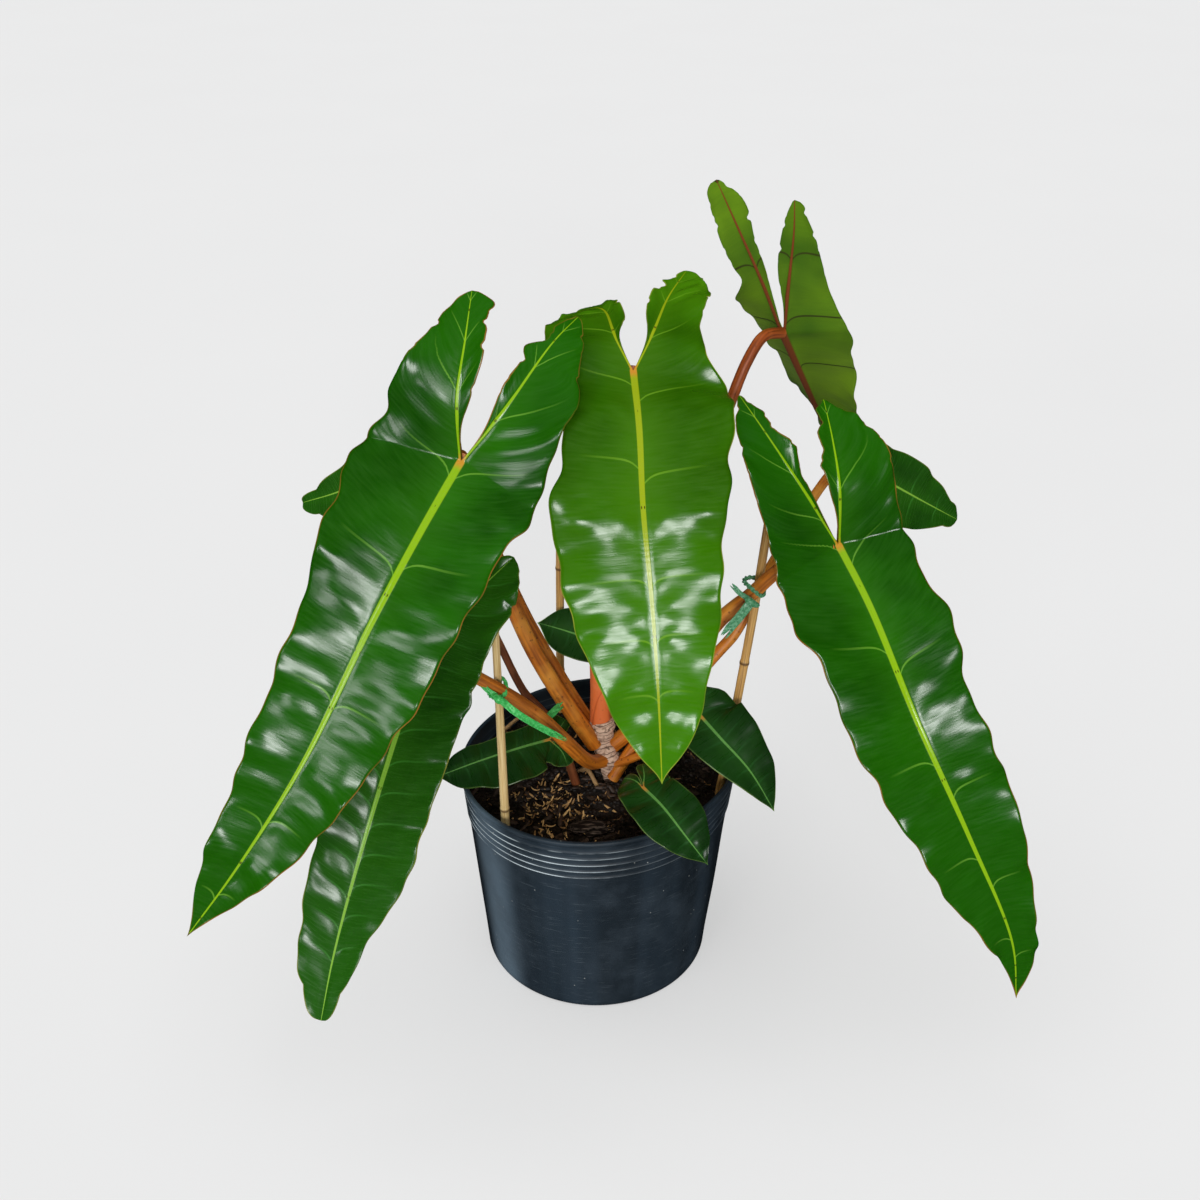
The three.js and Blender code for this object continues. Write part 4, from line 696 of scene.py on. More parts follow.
# %% [markdown]
# ## Living leaf, waxy above and matte below
# The upper face of an aroid leaf is a smooth waxed skin: it mirrors a window softly, and fine
# parallel cells across the blade break that mirror into streaks. The midrib is lime, thick and
# smooth, with a few dark specks and an orange joint at the stalk. Side veins are paler lines,
# and the margin has a thin yellow to red rim. The underside is dull, with dark veins and
# red-brown ribs. All of this follows the blade and not the room, so it reads the attributes
# that the mesh code stored.

# %% The finish of a leaf, and all the blades
def leaf_finish(name, flesh, shade, glow, tip, lobe_end, rib, vein, vein_share, rim, gloss,
                rows=1.0):
    """Waxed leaf skin: flesh is its middle green, shade the darker and glow the lighter one."""
    material, shader, node = new_finish(name)
    know = {key: node("ShaderNodeAttribute", attribute_name=key).outputs["Fac"]
            for key in KNOWN + ["under"]}
    place = node("ShaderNodeTexCoord").outputs["Object"]
    # Clouds of darker and lighter green about 45 mm wide, and shades three times as wide.
    clouds = node("ShaderNodeTexNoise", {"Vector": place, "Scale": 22.0, "Detail": 2.0})
    shades = node("ShaderNodeTexNoise", {"Vector": place, "Scale": 7.0, "Detail": 1.0})
    # Rows of cells run out from the rib, about 1.6 mm apart: they streak green and gloss.
    fine = node("ShaderNodeCombineXYZ", {"X": know["grain"], "Y": know["across"]})
    fine = node("ShaderNodeVectorMath", {0: fine, 1: (0.62, 0.07, 0.0)}, operation="MULTIPLY")
    cells = node("ShaderNodeTexNoise", {"Vector": fine, "Scale": 1.0, "Detail": 3.0},
                 noise_dimensions="2D")
    # The distance to the nearest side vein in mm, and that to the joint at the stalk.
    near = node("ShaderNodeMath", {0: know["vein_phase"], 1: 0.5}, operation="PINGPONG")
    from_vein = node("ShaderNodeMath", {0: near, 1: know["vein_gap"]}, operation="MULTIPLY")
    from_joint = node("ShaderNodeMath", {0: know["along"]}, operation="ABSOLUTE")
    # Dark specks on the midrib, about 1 mm across.
    spots = node("ShaderNodeCombineXYZ", {"X": know["along"], "Y": know["across"]})
    spots = node("ShaderNodeVectorMath", {0: spots, 1: (0.05, 0.16, 0.0)}, operation="MULTIPLY")
    dots = node("ShaderNodeTexVoronoi", {"Vector": spots, "Scale": 1.0},
                voronoi_dimensions="2D")

    # How much there is of each: its pattern, where it begins and where it is full, its most.
    # A side vein's line is 1.3 mm wide and fades towards the margin; the rim is half a mm.
    much = {key: node("ShaderNodeMapRange", {
        "Value": pattern, "From Min": begins, "From Max": full, "To Max": most},
        interpolation_type=step) for key, pattern, begins, full, most, step in (
            ("cloud", clouds, 0.35, 0.65, 1.0, "LINEAR"),
            ("broad", shades, 0.48, 0.62, 0.55, "LINEAR"),
            ("middle", know["share"], 0.45, 0.02, 0.35, "LINEAR"),
            ("tip", know["along"], 70.0, 200.0, 1.0, "LINEAR"),
            ("lobe_end", know["along"], -35.0, -85.0, 1.0, "LINEAR"),
            ("streak", cells, 0.3, 0.7, 0.14 * rows, "LINEAR"),
            ("line", from_vein, 0.95, 0.3, 1.0, "SMOOTHSTEP"),
            ("vein", know["share"], 0.8, 0.15, vein_share, "LINEAR"),
            ("rib", know["rib"], 1.15, 0.8, 1.0, "SMOOTHSTEP"),
            ("joint", from_joint, 7.0, 1.0, 0.75, "SMOOTHSTEP"),
            ("speck", dots, 0.06, 0.035, 1.0, "LINEAR"),
            ("rim", know["edge"], 0.8, 0.3, 0.8, "LINEAR"))}
    # Some show only where another does: joint and specks on the rib, the rim in places.
    for key, within in (("vein", "line"), ("joint", "rib"), ("speck", "rib"), ("rim", "cloud")):
        much[key] = node("ShaderNodeMath", {0: much[key], 1: much[within]},
                         operation="MULTIPLY")

    # The upper face from the ground colour up, and then the dull underside.
    faces = []
    for ground, coats in (
            (shade, (("cloud", flesh), ("broad", shade), ("middle", glow), ("tip", tip),
                     ("lobe_end", lobe_end), ("streak", glow), ("vein", vein), ("rib", rib),
                     ("joint", "#c9762c"), ("speck", "#3a2410"), ("rim", rim))),
            ("#35560a", (("cloud", "#56790f"), ("broad", "#6d8c1c"), ("streak", "#2c4a08"),
                         ("line", "#2c330c"), ("rib", "#6a3518")))):
        tint = paint(ground)
        for key, colour in coats:
            tint = node("ShaderNodeMix", {"Factor": much[key], "A": tint, "B": paint(colour)},
                        data_type="RGBA")
        faces.append(tint)
    under = know["under"]
    tint = node("ShaderNodeMix", {"Factor": under, "A": faces[0], "B": faces[1]},
                data_type="RGBA")

    # Wax above: the cells vary its gloss a little. Matte below.
    waxy = node("ShaderNodeMapRange", {"Value": cells, "From Min": 0.3, "From Max": 0.7,
                                       "To Min": gloss - 0.04, "To Max": gloss + 0.06})
    rough = node("ShaderNodeMix", {"Factor": under, "A": waxy, "B": 0.75})
    shine = node("ShaderNodeMix", {"Factor": under, "A": 0.45, "B": 0.12})
    relief = node("ShaderNodeBump", {"Height": cells, "Strength": rows, "Distance": 0.00004})
    pores = node("ShaderNodeTexNoise", {"Vector": place, "Scale": 900.0, "Detail": 1.0})
    relief = node("ShaderNodeBump", {"Height": pores, "Strength": 0.5, "Distance": 0.00003,
                                     "Normal": relief})
    feed(shader, {"Base Color": tint, "Roughness": rough, "Normal": relief,
                  "IOR": 1.45, "Specular IOR Level": shine, "Subsurface Weight": 0.05,
                  "Subsurface Radius": (0.4, 1.0, 0.2), "Subsurface Scale": 0.002})
    return material


LEAF_SKINS = {
    "leaf_bright": leaf_finish(
        "young_waxed_leaf", flesh="#2f6202", shade="#255201", glow="#487a0a", tip="#377201",
        lobe_end="#447c06", rib="#8d9e10", vein="#6a9a20", vein_share=0.6, rim="#a9a840",
        gloss=0.2),
    "leaf_green": leaf_finish(
        "grown_waxed_leaf", flesh="#1a5702", shade="#0f4001", glow="#30700a", tip="#165001",
        lobe_end="#1a5702", rib="#7fa80a", vein="#6aa030", vein_share=0.6, rim="#a5662e",
        gloss=0.21),
    "leaf_deep": leaf_finish(
        "old_waxed_leaf", flesh="#20530a", shade="#133d06", glow="#326e14", tip="#1c5009",
        lobe_end="#20530a", rib="#79a836", vein="#3f8430", vein_share=0.45, rim="#8d8a3a",
        gloss=0.24),
    "leaf_small": leaf_finish(
        "small_satin_leaf", flesh="#163e0e", shade="#0d2c09", glow="#28571e", tip="#163e0e",
        lobe_end="#163e0e", rib="#588c40", vein="#265c28", vein_share=0.35, rim="#7c9648",
        gloss=0.3, rows=0.25),
}
for leaf in LEAVES:
    keep(blade_piece(leaf, LEAF_SKINS[leaf.slot]), leaf.slot, "leaf_" + leaf.name)

# %% [markdown]
# ## Stalks, stem, canes and cords along a path
# These are all rods that follow a path with a thickness that changes, so Geometry Nodes make
# them: a rule that bends a round profile along a curve. The path is a line mesh of a few
# hundred points that know their radius and their distance along it. The rule turns it into a
# curve, sweeps a circle along it scaled by that radius, roughens the skin with noise and keeps
# the place along and around the rod as attributes for the finish.

# %% A rule is a node tree with named inputs
def new_rule(name, sizes):
    """A Geometry Nodes tree with the given named inputs; returns it and its inputs."""
    tree = bpy.data.node_groups.new(name, "GeometryNodeTree")
    tree.interface.new_socket("Geometry", in_out="INPUT", socket_type="NodeSocketGeometry")
    for key, (kind, value) in sizes.items():
        socket = tree.interface.new_socket(key, in_out="INPUT", socket_type="NodeSocket" + kind)
        if value is not None:
            socket.default_value = value
    tree.interface.new_socket("Geometry", in_out="OUTPUT", socket_type="NodeSocketGeometry")
    return tree, tree.nodes.new("NodeGroupInput").outputs


def close_rule(tree, last, finish):
    """Ends a rule: its instances become real mesh, and the mesh gets its finish."""
    real = put(tree, "GeometryNodeRealizeInstances", {"Geometry": last})
    smooth = put(tree, "GeometryNodeSetShadeSmooth", {"Geometry": real})
    dressed = put(tree, "GeometryNodeSetMaterial", {"Geometry": smooth, "Material": finish})
    put(tree, "NodeGroupOutput", {0: dressed})


def follow_rule(name, mesh, tree, sizes):
    """Runs a rule on a source mesh and returns its result as a plain mesh object."""
    source = add_object(name + "_source", mesh)
    modifier = source.modifiers.new("rule", "NODES")
    modifier.node_group = tree
    sockets = {item.name: item.identifier for item in tree.interface.items_tree
               if item.item_type == "SOCKET" and item.in_out == "INPUT"}
    for key, value in sizes.items():
        modifier[sockets[key]] = value
    ready = source.evaluated_get(bpy.context.evaluated_depsgraph_get())
    made = bpy.data.meshes.new_from_object(ready)
    source.modifiers.remove(modifier)
    bpy.data.objects.remove(source)
    made.name = name
    return add_object(name, made)


rod_rule, rod = new_rule("bent_rod", {
    "Sides": ("Int", 18), "Bump Height": ("Float", 0.0), "Bump Size": ("Float", 0.004),
    "Joint Spacing": ("Float", 1.0), "First Joint": ("Float", 0.5),
    "Joint Swelling": ("Float", 0.0), "Joint Length": ("Float", 0.002),
    "Finish": ("Material", None)})
node = functools.partial(put, rod_rule)
radius = node("GeometryNodeInputNamedAttribute", {"Name": "thickness"})
run = node("GeometryNodeInputNamedAttribute", {"Name": "along"})
curve = node("GeometryNodeMeshToCurve", {"Mesh": rod["Geometry"]})
# The distance to the nearest joint repeats with the spacing, and the rod swells close to it.
shifted = node("ShaderNodeMath", {0: run, 1: rod["First Joint"]}, operation="SUBTRACT")
half_gap = node("ShaderNodeMath", {0: rod["Joint Spacing"], 1: 0.5}, operation="MULTIPLY")
to_joint = node("ShaderNodeMath", {0: shifted, 1: half_gap}, operation="PINGPONG")
in_lengths = node("ShaderNodeMath", {0: to_joint, 1: rod["Joint Length"]}, operation="DIVIDE")
squared = node("ShaderNodeMath", {0: in_lengths, 1: in_lengths}, operation="MULTIPLY")
hump = node("ShaderNodeMath", {0: 0.37, 1: squared}, operation="POWER")
swollen = node("ShaderNodeMath", {0: hump, 1: rod["Joint Swelling"], 2: 1.0},
               operation="MULTIPLY_ADD")
scaled = node("ShaderNodeMath", {0: radius, 1: swollen}, operation="MULTIPLY")
curve = node("GeometryNodeStoreNamedAttribute", {
    "Geometry": curve, "Name": "from_joint", "Value": to_joint}, data_type="FLOAT")
circle = node("GeometryNodeCurvePrimitiveCircle", {"Resolution": rod["Sides"], "Radius": 1.0})
circle = node("GeometryNodeStoreNamedAttribute", {
    "Geometry": circle.outputs["Curve"], "Name": "ring",
    "Value": node("GeometryNodeInputPosition")}, data_type="FLOAT_VECTOR")
swept = node("GeometryNodeCurveToMesh", {
    "Curve": curve, "Profile Curve": circle, "Scale": scaled, "Fill Caps": True})
grain_at = node("ShaderNodeVectorMath", {0: node("GeometryNodeInputPosition"),
                                         1: rod["Bump Size"]}, operation="DIVIDE")
rough_skin = node("ShaderNodeTexNoise", {"Vector": grain_at, "Scale": 1.0, "Detail": 2.0})
centred = node("ShaderNodeMath", {0: rough_skin, 1: 0.5}, operation="SUBTRACT")
height = node("ShaderNodeMath", {0: centred, 1: rod["Bump Height"]}, operation="MULTIPLY")
push = node("ShaderNodeVectorMath", {0: node("GeometryNodeInputNormal"), "Scale": height},
            operation="SCALE")
rough_rod = node("GeometryNodeSetPosition", {"Geometry": swept, "Offset": push})
close_rule(rod_rule, rough_rod, rod["Finish"])


def rod_piece(name, route, radii, material, step=2.0, rings=(), **sizes):
    """A rod along a route in mm; rings adds bumps of its own as (place, height, length)."""
    count = max(12, round(length_of(route) / step))
    path, length = smooth_path(route, count)
    along = np.linspace(0, length, count + 1)
    thickness = smooth_values(radii, along / length)
    for place, tall, long in rings:
        thickness = thickness + tall * np.exp(-((along - place) / long) ** 2)
    line = bpy.data.meshes.new(name + "_line")
    line.from_pydata((path * MM).tolist(), [(i, i + 1) for i in range(count)], [])
    for key, values in (("thickness", thickness), ("along", along)):
        layer = line.attributes.new(key, "FLOAT", "POINT")
        layer.data.foreach_set("value", (values * MM).astype(np.float32))
    return follow_rule(name, line, rod_rule, {
        **{key.replace("_", " ").title(): value for key, value in sizes.items()},
        "Finish": material})


print("inputs of the rod rule:", len(rod) - 2)

# %% [markdown]
# ## Fleshy leaf stalks
# A leaf stalk is a firm round rod with a thin waxed skin. It is orange-brown, with darker and
# lighter streaks along it and dark specks, and redder on the youngest leaves. The streaks read
# the place along and around the rod, so they follow its bends.

# %% The finish of a stalk, and all the stalks
def stalk_finish(name, flesh, dark, light, speck_share):
    """Waxed stalk skin with streaks along it and dark specks about 1 mm across."""
    material, shader, node = new_finish(name)
    place = node("ShaderNodeTexCoord").outputs["Object"]
    run = node("ShaderNodeAttribute", attribute_name="along").outputs["Fac"]
    ring = node("ShaderNodeAttribute", attribute_name="ring").outputs["Vector"]
    long = node("ShaderNodeCombineXYZ", {"Z": run})
    streaks_at, fibres_at = (
        node("ShaderNodeVectorMath", {0: long, 1: (0, 0, per_metre), 2: ring},
             operation="MULTIPLY_ADD") for per_metre in (14.0, 60.0))
    streaks = node("ShaderNodeTexNoise", {"Vector": streaks_at, "Scale": 2.4, "Detail": 4.0})
    patches = node("ShaderNodeTexNoise", {"Vector": place, "Scale": 45.0, "Detail": 2.0})
    dots = node("ShaderNodeTexVoronoi", {"Vector": place, "Scale": 210.0})
    tint = paint_over(node, dark, ((streaks, 0.35, 0.65, 1.0, flesh),
                                   (patches, 0.5, 0.75, 0.7, light),
                                   (dots, 0.2, 0.12, speck_share, "#4a2412")))
    fibres = node("ShaderNodeTexNoise", {"Vector": fibres_at, "Scale": 9.0, "Detail": 2.0})
    relief = node("ShaderNodeBump", {"Height": fibres, "Strength": 1.0, "Distance": 0.00012})
    rough = node("ShaderNodeMapRange", {"Value": streaks, "To Min": 0.34, "To Max": 0.5})
    feed(shader, {"Base Color": tint, "Roughness": rough, "Normal": relief, "IOR": 1.45,
                  "Subsurface Weight": 0.05, "Subsurface Radius": (1.0, 0.4, 0.2),
                  "Subsurface Scale": 0.002})
    return material


STALK_SKINS = {
    "stalk_orange": stalk_finish("orange_stalk_skin", "#c9741c", "#8f4c12", "#dd9a38", 0.6),
    "stalk_coral": stalk_finish("coral_stalk_skin", "#9c4a18", "#6a3010", "#bd6a30", 0.45),
    "stalk_red": stalk_finish("red_brown_stalk_skin", "#7d4526", "#552c19", "#9a623a", 0.35),
}
for leaf in LEAVES:
    stalk = rod_piece("stalk_of_" + leaf.name, leaf.route, leaf.radii,
                      STALK_SKINS[leaf.stalk_slot], bump_height=0.35 * MM, bump_size=7 * MM,
                      sides=20)
    keep(stalk, leaf.stalk_slot, "stalk_" + leaf.name)

# %% [markdown]
# ## The stem
# The stem is short, pale and dry, with a ring at each scar of a fallen leaf. The rod rule makes
# it too, with listed rings, and its bark is dusty and cracked around the rings.

# %% Bark and stem
# Dry bark: dusty pale flakes over brown, with dark cracked layers between the rings.
STEM_BARK, shader, node = new_finish("dry_ringed_bark")
place = node("ShaderNodeTexCoord").outputs["Object"]
flakes = node("ShaderNodeTexNoise", {"Vector": place, "Scale": 190.0, "Detail": 5.0,
                                     "Roughness": 0.65})
layers = node("ShaderNodeTexWave", {"Vector": place, "Scale": 95.0, "Distortion": 7.0,
                                    "Detail": 3.0}, bands_direction="Z")
tint = paint_over(node, "#7d5b47", ((flakes, 0.34, 0.52, 1.0, "#d2b29b"),
                                    (layers.outputs["Fac"], 0.16, 0.02, 0.75, "#3c251b")))
cracked = node("ShaderNodeBump", {"Height": flakes, "Distance": 0.0009, "Strength": 1.0})
feed(shader, {"Base Color": tint, "Roughness": 0.85, "Normal": cracked,
              "Specular IOR Level": 0.2})
STEM_ROUTE = [[10, -12, 140], [10, -12, 165], [8, -12, 180], [5, -10, 190], [5, -9, 199],
              [4, -7, 208]]
STEM_RADII = [5, 5, 5, 5.8, 7.6, 7.9, 5.6, 8.4, 8.6]
SCARS = [(26, 0.7, 1.0), (33, -0.6, 0.8), (38, 0.9, 1.1), (42, -0.7, 0.7), (46, 0.6, 0.9),
         (57, 0.9, 1.0), (60, -0.8, 0.5), (63, 0.7, 0.9), (67, 0.6, 1.0)]
stem = rod_piece("ringed_stem", STEM_ROUTE, STEM_RADII, STEM_BARK, step=0.6, rings=SCARS,
                 bump_height=2.2 * MM, bump_size=4.5 * MM, sides=36)
keep(stem, "stem", "stem")

# %% [markdown]
# ## Coral sheaths
# The youngest stalk comes out between two thin fleshy sheaths, which clasp its foot and end in
# a point. They are coral orange with paler patches. Each is a strip bent round the stalk that
# narrows to its tip, so a few rows of mesh are enough.

# %% Two sheaths round the foot of the youngest stalk
SHEATH_ROWS, SHEATH_COLUMNS = 14, 9
SHEATH_THICKNESS = 0.5
FOOT_FLARE, TIP_FLARE = 1.1, 0.9   # how far a sheath stands off at its foot and at its tip
STALK_AXIS = (2.6, -7)
SHEATH_SKIN = stalk_finish("coral_sheath_skin", "#f38344", "#c9592c", "#ffb083", 0.15)


def sheath(name, middle, opening, foot, tall, inside):
    """A pointed shell round the stalk: angles in degrees, heights and inner radius in mm."""
    corners = []
    for skin in (SHEATH_THICKNESS, 0):
        for up in np.arange(SHEATH_ROWS) / (SHEATH_ROWS - 1):
            for i in range(SHEATH_COLUMNS):
                part = (i / (SHEATH_COLUMNS - 1) - 0.5) * math.sqrt(1.02 - up ** 1.6)
                turn = math.radians(middle + opening * part)
                far = inside + skin + FOOT_FLARE * (1 - up) ** 2 + TIP_FLARE * up ** 3
                corners.append([STALK_AXIS[0] + far * math.cos(turn),
                                STALK_AXIS[1] + far * math.sin(turn), foot + tall * up])
    count, wide = SHEATH_ROWS * SHEATH_COLUMNS, SHEATH_COLUMNS
    faces = []
    for a in (j * wide + i for j in range(SHEATH_ROWS - 1) for i in range(wide - 1)):
        faces += [[a, a + 1, a + wide + 1, a + wide],
                  [a + count + wide, a + count + wide + 1, a + count + 1, a + count]]
    rim = list(range(wide)) + [j * wide + wide - 1 for j in range(1, SHEATH_ROWS)] \
        + [count - 1 - i for i in range(1, wide)] \
        + [j * wide for j in range(SHEATH_ROWS - 2, 0, -1)]
    faces += [[b, a, a + count, b + count] for a, b in zip(rim, rim[1:] + rim[:1])]
    keep(mesh_piece(name, corners, faces, SHEATH_SKIN), "stalk_coral")


sheath("sheath_left", -150, 210, 205, 52, 5.7)
sheath("sheath_right", -48, 170, 205, 33, 6.5)

# %% [markdown]
# ## Bamboo canes
# The three canes are thin split-free bamboo, cut square at the top. Each has a raised joint
# every hand's width, with a dark ring, and a satin straw skin with fine lines along it.

# %% Bamboo skin and the canes
def cane_finish(name, straw, brown, pale):
    """Dry bamboo: straw skin, brown lines along it and a dark ring at each joint."""
    material, shader, node = new_finish(name)
    run = node("ShaderNodeAttribute", attribute_name="along").outputs["Fac"]
    ring = node("ShaderNodeAttribute", attribute_name="ring").outputs["Vector"]
    joint = node("ShaderNodeAttribute", attribute_name="from_joint").outputs["Fac"]
    long = node("ShaderNodeCombineXYZ", {"Z": run})
    at = node("ShaderNodeVectorMath", {0: long, 1: (0, 0, 6.0), 2: ring},
              operation="MULTIPLY_ADD")
    fibres = node("ShaderNodeTexNoise", {"Vector": at, "Scale": 7.0, "Detail": 3.0})
    slow = node("ShaderNodeTexNoise", {"Vector": at, "Scale": 2.6, "Detail": 2.0})
    tint = paint_over(node, straw, ((fibres, 0.4, 0.65, 1.0, pale),
                                    (slow, 0.5, 0.72, 0.7, brown),
                                    (joint, 0.0016, 0.0004, 0.85, "#4f3319")))
    relief = node("ShaderNodeBump", {"Height": fibres, "Distance": 0.0001})
    feed(shader, {"Base Color": tint, "Roughness": 0.42, "Normal": relief, "IOR": 1.5})
    return material


light_cane = cane_finish("pale_bamboo_skin", "#cfae72", "#a37a42", "#e3cb95")
brown_cane = cane_finish("tanned_bamboo_skin", "#b98a4a", "#7a4f28", "#d4a964")
CANES = [
    # name, route, radius at the foot and at the top, finish, joint spacing, first joint
    ("left", [[-63, -66, 118], [-64, -69, 280], [-65, -71, 395]], (3.2, 2.3), light_cane,
     98, 57),
    ("middle", [[-29, 82, 105], [-28, 80, 190], [-26, 78, 345]], (3.2, 3.0), brown_cane,
     92, 88),
    ("right", [[85, -26, 112], [90, -21, 150], [108, -8, 293], [118, 4, 385]], (3.1, 3.0),
     brown_cane, 116, 150),
]
for side, route, thickness, material, spacing, first in CANES:
    cane = rod_piece("cane_" + side, route, thickness, material, step=0.8,
                     sides=18, bump_height=0.25 * MM, bump_size=9 * MM, first_joint=first * MM,
                     joint_spacing=spacing * MM, joint_swelling=0.16, joint_length=1.6 * MM)
    keep(cane, "bamboo", "stick_" + side)

# %% [markdown]
# ## The nursery pot
# A 20 cm nursery pot is blown or moulded from thin soft polyethylene. Its wall tapers, has five
# thin rings below a small bead, and is squeezed out of round where it was carried. A lathe
# shape is the honest way to make it: one profile turned round, then squeezed and dented point
# by point, with six drain holes cut by a boolean. The rings are real ridges, because they catch
# the light as thin lines.

# %% Turn the pot's profile
POT_HEIGHT, RIM_RADIUS, BASE_RADIUS, WALL = 172, 100, 85, 1.8
RING_TOP, RING_PITCH, RING_COUNT, RING_HEIGHT = 162, 6, 5, 0.9
RING_PROFILE = ((-2.2, 0), (-1.1, 0.1), (-0.6, 0.65), (0, 1), (0.6, 0.65), (1.1, 0.1), (2.2, 0))
RIM_BEAD = 1.6
POT_SIDES = 180
FLOOR_TOP = 2.4
RIM_SHIFT = 3.5                # mm to the right
OVAL, OVAL_TURN = 0.05, 42     # stretch of the rim, and its direction in degrees
DENT_DEPTH, PRESSED_IN = 0.9, 0.6


def wall_radius(z):
    """Radius of the pot's outside at a height, before it is squeezed."""
    return BASE_RADIUS + (RIM_RADIUS - BASE_RADIUS) * z / POT_HEIGHT


def squeezed(p):
    """The soft pot is out of round, more so towards the rim, which is also pushed aside."""
    share = (p[:, 2] / POT_HEIGHT) ** 2
    angle = np.arctan2(p[:, 1], p[:, 0]) - math.radians(OVAL_TURN)
    stretch = 1 + OVAL * share * np.cos(2 * angle)
    return np.stack([p[:, 0] * stretch + RIM_SHIFT * share, p[:, 1] * stretch, p[:, 2]], 1)


def ring_faces(rings, sides, first=0):
    """Faces between rings of corners that follow one another."""
    return [[first + i * sides + k, first + i * sides + (k + 1) % sides,
             first + (i + 1) * sides + (k + 1) % sides, first + (i + 1) * sides + k]
            for i in range(rings - 1) for k in range(sides)]


def turned(profile, sides):
    """Corners and faces of a profile of (radius, height) turned round the upright axis."""
    profile = np.asarray(profile, float)
    angle = np.arange(sides) / sides * 2 * np.pi
    r, z = profile[:, :1], profile[:, 1:]
    corners = np.stack([r * np.cos(angle), r * np.sin(angle), z + 0 * angle], -1).reshape(-1, 3)
    return corners, ring_faces(len(profile), sides)


outside = [[70, 0], [BASE_RADIUS - 3, 0], [BASE_RADIUS - 1.2, 0.5], [wall_radius(2), 2]]
outside += [[wall_radius(z), z] for z in range(6, 134, 4)]
for i in range(RING_COUNT):
    z = RING_TOP - (RING_COUNT - 1 - i) * RING_PITCH
    outside += [[wall_radius(z + dz) + RING_HEIGHT * lift, z + dz] for dz, lift in RING_PROFILE]
outside += [[wall_radius(166), 166]] + [[RIM_RADIUS + dr, z] for dr, z in (
    (0.2, 168), (RIM_BEAD - 0.3, 169), (RIM_BEAD, 170), (RIM_BEAD - 0.3, 171.6),
    (0.6, POT_HEIGHT), (0.5 - WALL, POT_HEIGHT), (-WALL, 171.3))]
inside = [[wall_radius(z) - WALL, z] for z in range(166, 6, -8)]
inside += [[82.5, 4], [80.5, FLOOR_TOP], [70, FLOOR_TOP]]
corners, faces = turned(outside + inside, POT_SIDES)
middle = len(corners)
corners = np.vstack([corners, [[0, 0, 0], [0, 0, FLOOR_TOP]]])
last_ring = middle - POT_SIDES
for k in range(POT_SIDES):
    after = (k + 1) % POT_SIDES
    faces += [[middle, after, k], [middle + 1, last_ring + k, last_ring + after]]
# Shallow dents: flat places where the thin wall has been pressed, deepest half way up.
angle = np.arctan2(corners[:, 1], corners[:, 0])
belly = np.sin(np.clip(corners[:, 2] / 140, 0, 1) * np.pi)
dent = DENT_DEPTH * belly * (np.cos(3 * angle + 0.8) + 0.6 * np.cos(7 * angle + 2.1))
radial = np.hypot(corners[:, 0], corners[:, 1])
on_wall = (radial > 60)[:, None]
corners[:, :2] += np.where(on_wall, corners[:, :2] / np.maximum(radial, 1)[:, None]
                           * ((dent - PRESSED_IN) * belly)[:, None], 0)
corners = squeezed(corners)
print("corners of the pot:", len(corners))

# %% [markdown]
# Old nursery plastic is a blue-grey satin polyethylene. It shows scuffs that run round the wall,
# worn pale lines on the rings that are painted highlight as well on the lit left side, dust and
# small specks of soil, and a few cloudy upright bands where hands have polished it. One more
# upright band on the left is a painted highlight.

# %% The finish of the pot, and its drain holes
POT_SKIN, shader, node = new_finish("scuffed_slate_polyethylene")
place = node("ShaderNodeTexCoord").outputs["Object"]
axes = node("ShaderNodeSeparateXYZ", {"Vector": place}).outputs
around = node("ShaderNodeMath", {0: axes["Y"], 1: axes["X"]}, operation="ARCTAN2")
unrolled = node("ShaderNodeCombineXYZ", {"X": around, "Y": axes["Z"]})
# Noise on the unrolled wall: cloudy upright bands, scuffs that run round it, a few tenths of a
# mm high and some centimetres long, and places where the rings are worn.
bands, scuffs, wear = (
    node("ShaderNodeTexNoise", {"Scale": 1.0, "Detail": detail, "Vector": node(
        "ShaderNodeVectorMath", {0: unrolled, 1: (*stretch, 1.0)}, operation="MULTIPLY")},
        noise_dimensions="2D")
    for stretch, detail in (((2.6, 1.5), 2.0), ((5.0, 1400.0), 2.0), ((3.0, 90.0), 3.0)))
clouds = node("ShaderNodeTexNoise", {"Vector": place, "Scale": 26.0, "Detail": 6.0,
                                     "Roughness": 0.6})
dots = node("ShaderNodeTexVoronoi", {"Vector": place, "Scale": 90.0})
# One upright band on the left is painted paler: a painted highlight where the light falls on the
# wall.
painted_highlight_band = node("ShaderNodeMath", {0: around, 1: math.radians(-143)}, operation="SUBTRACT")
painted_highlight_band = node("ShaderNodeMath", {0: painted_highlight_band}, operation="ABSOLUTE")
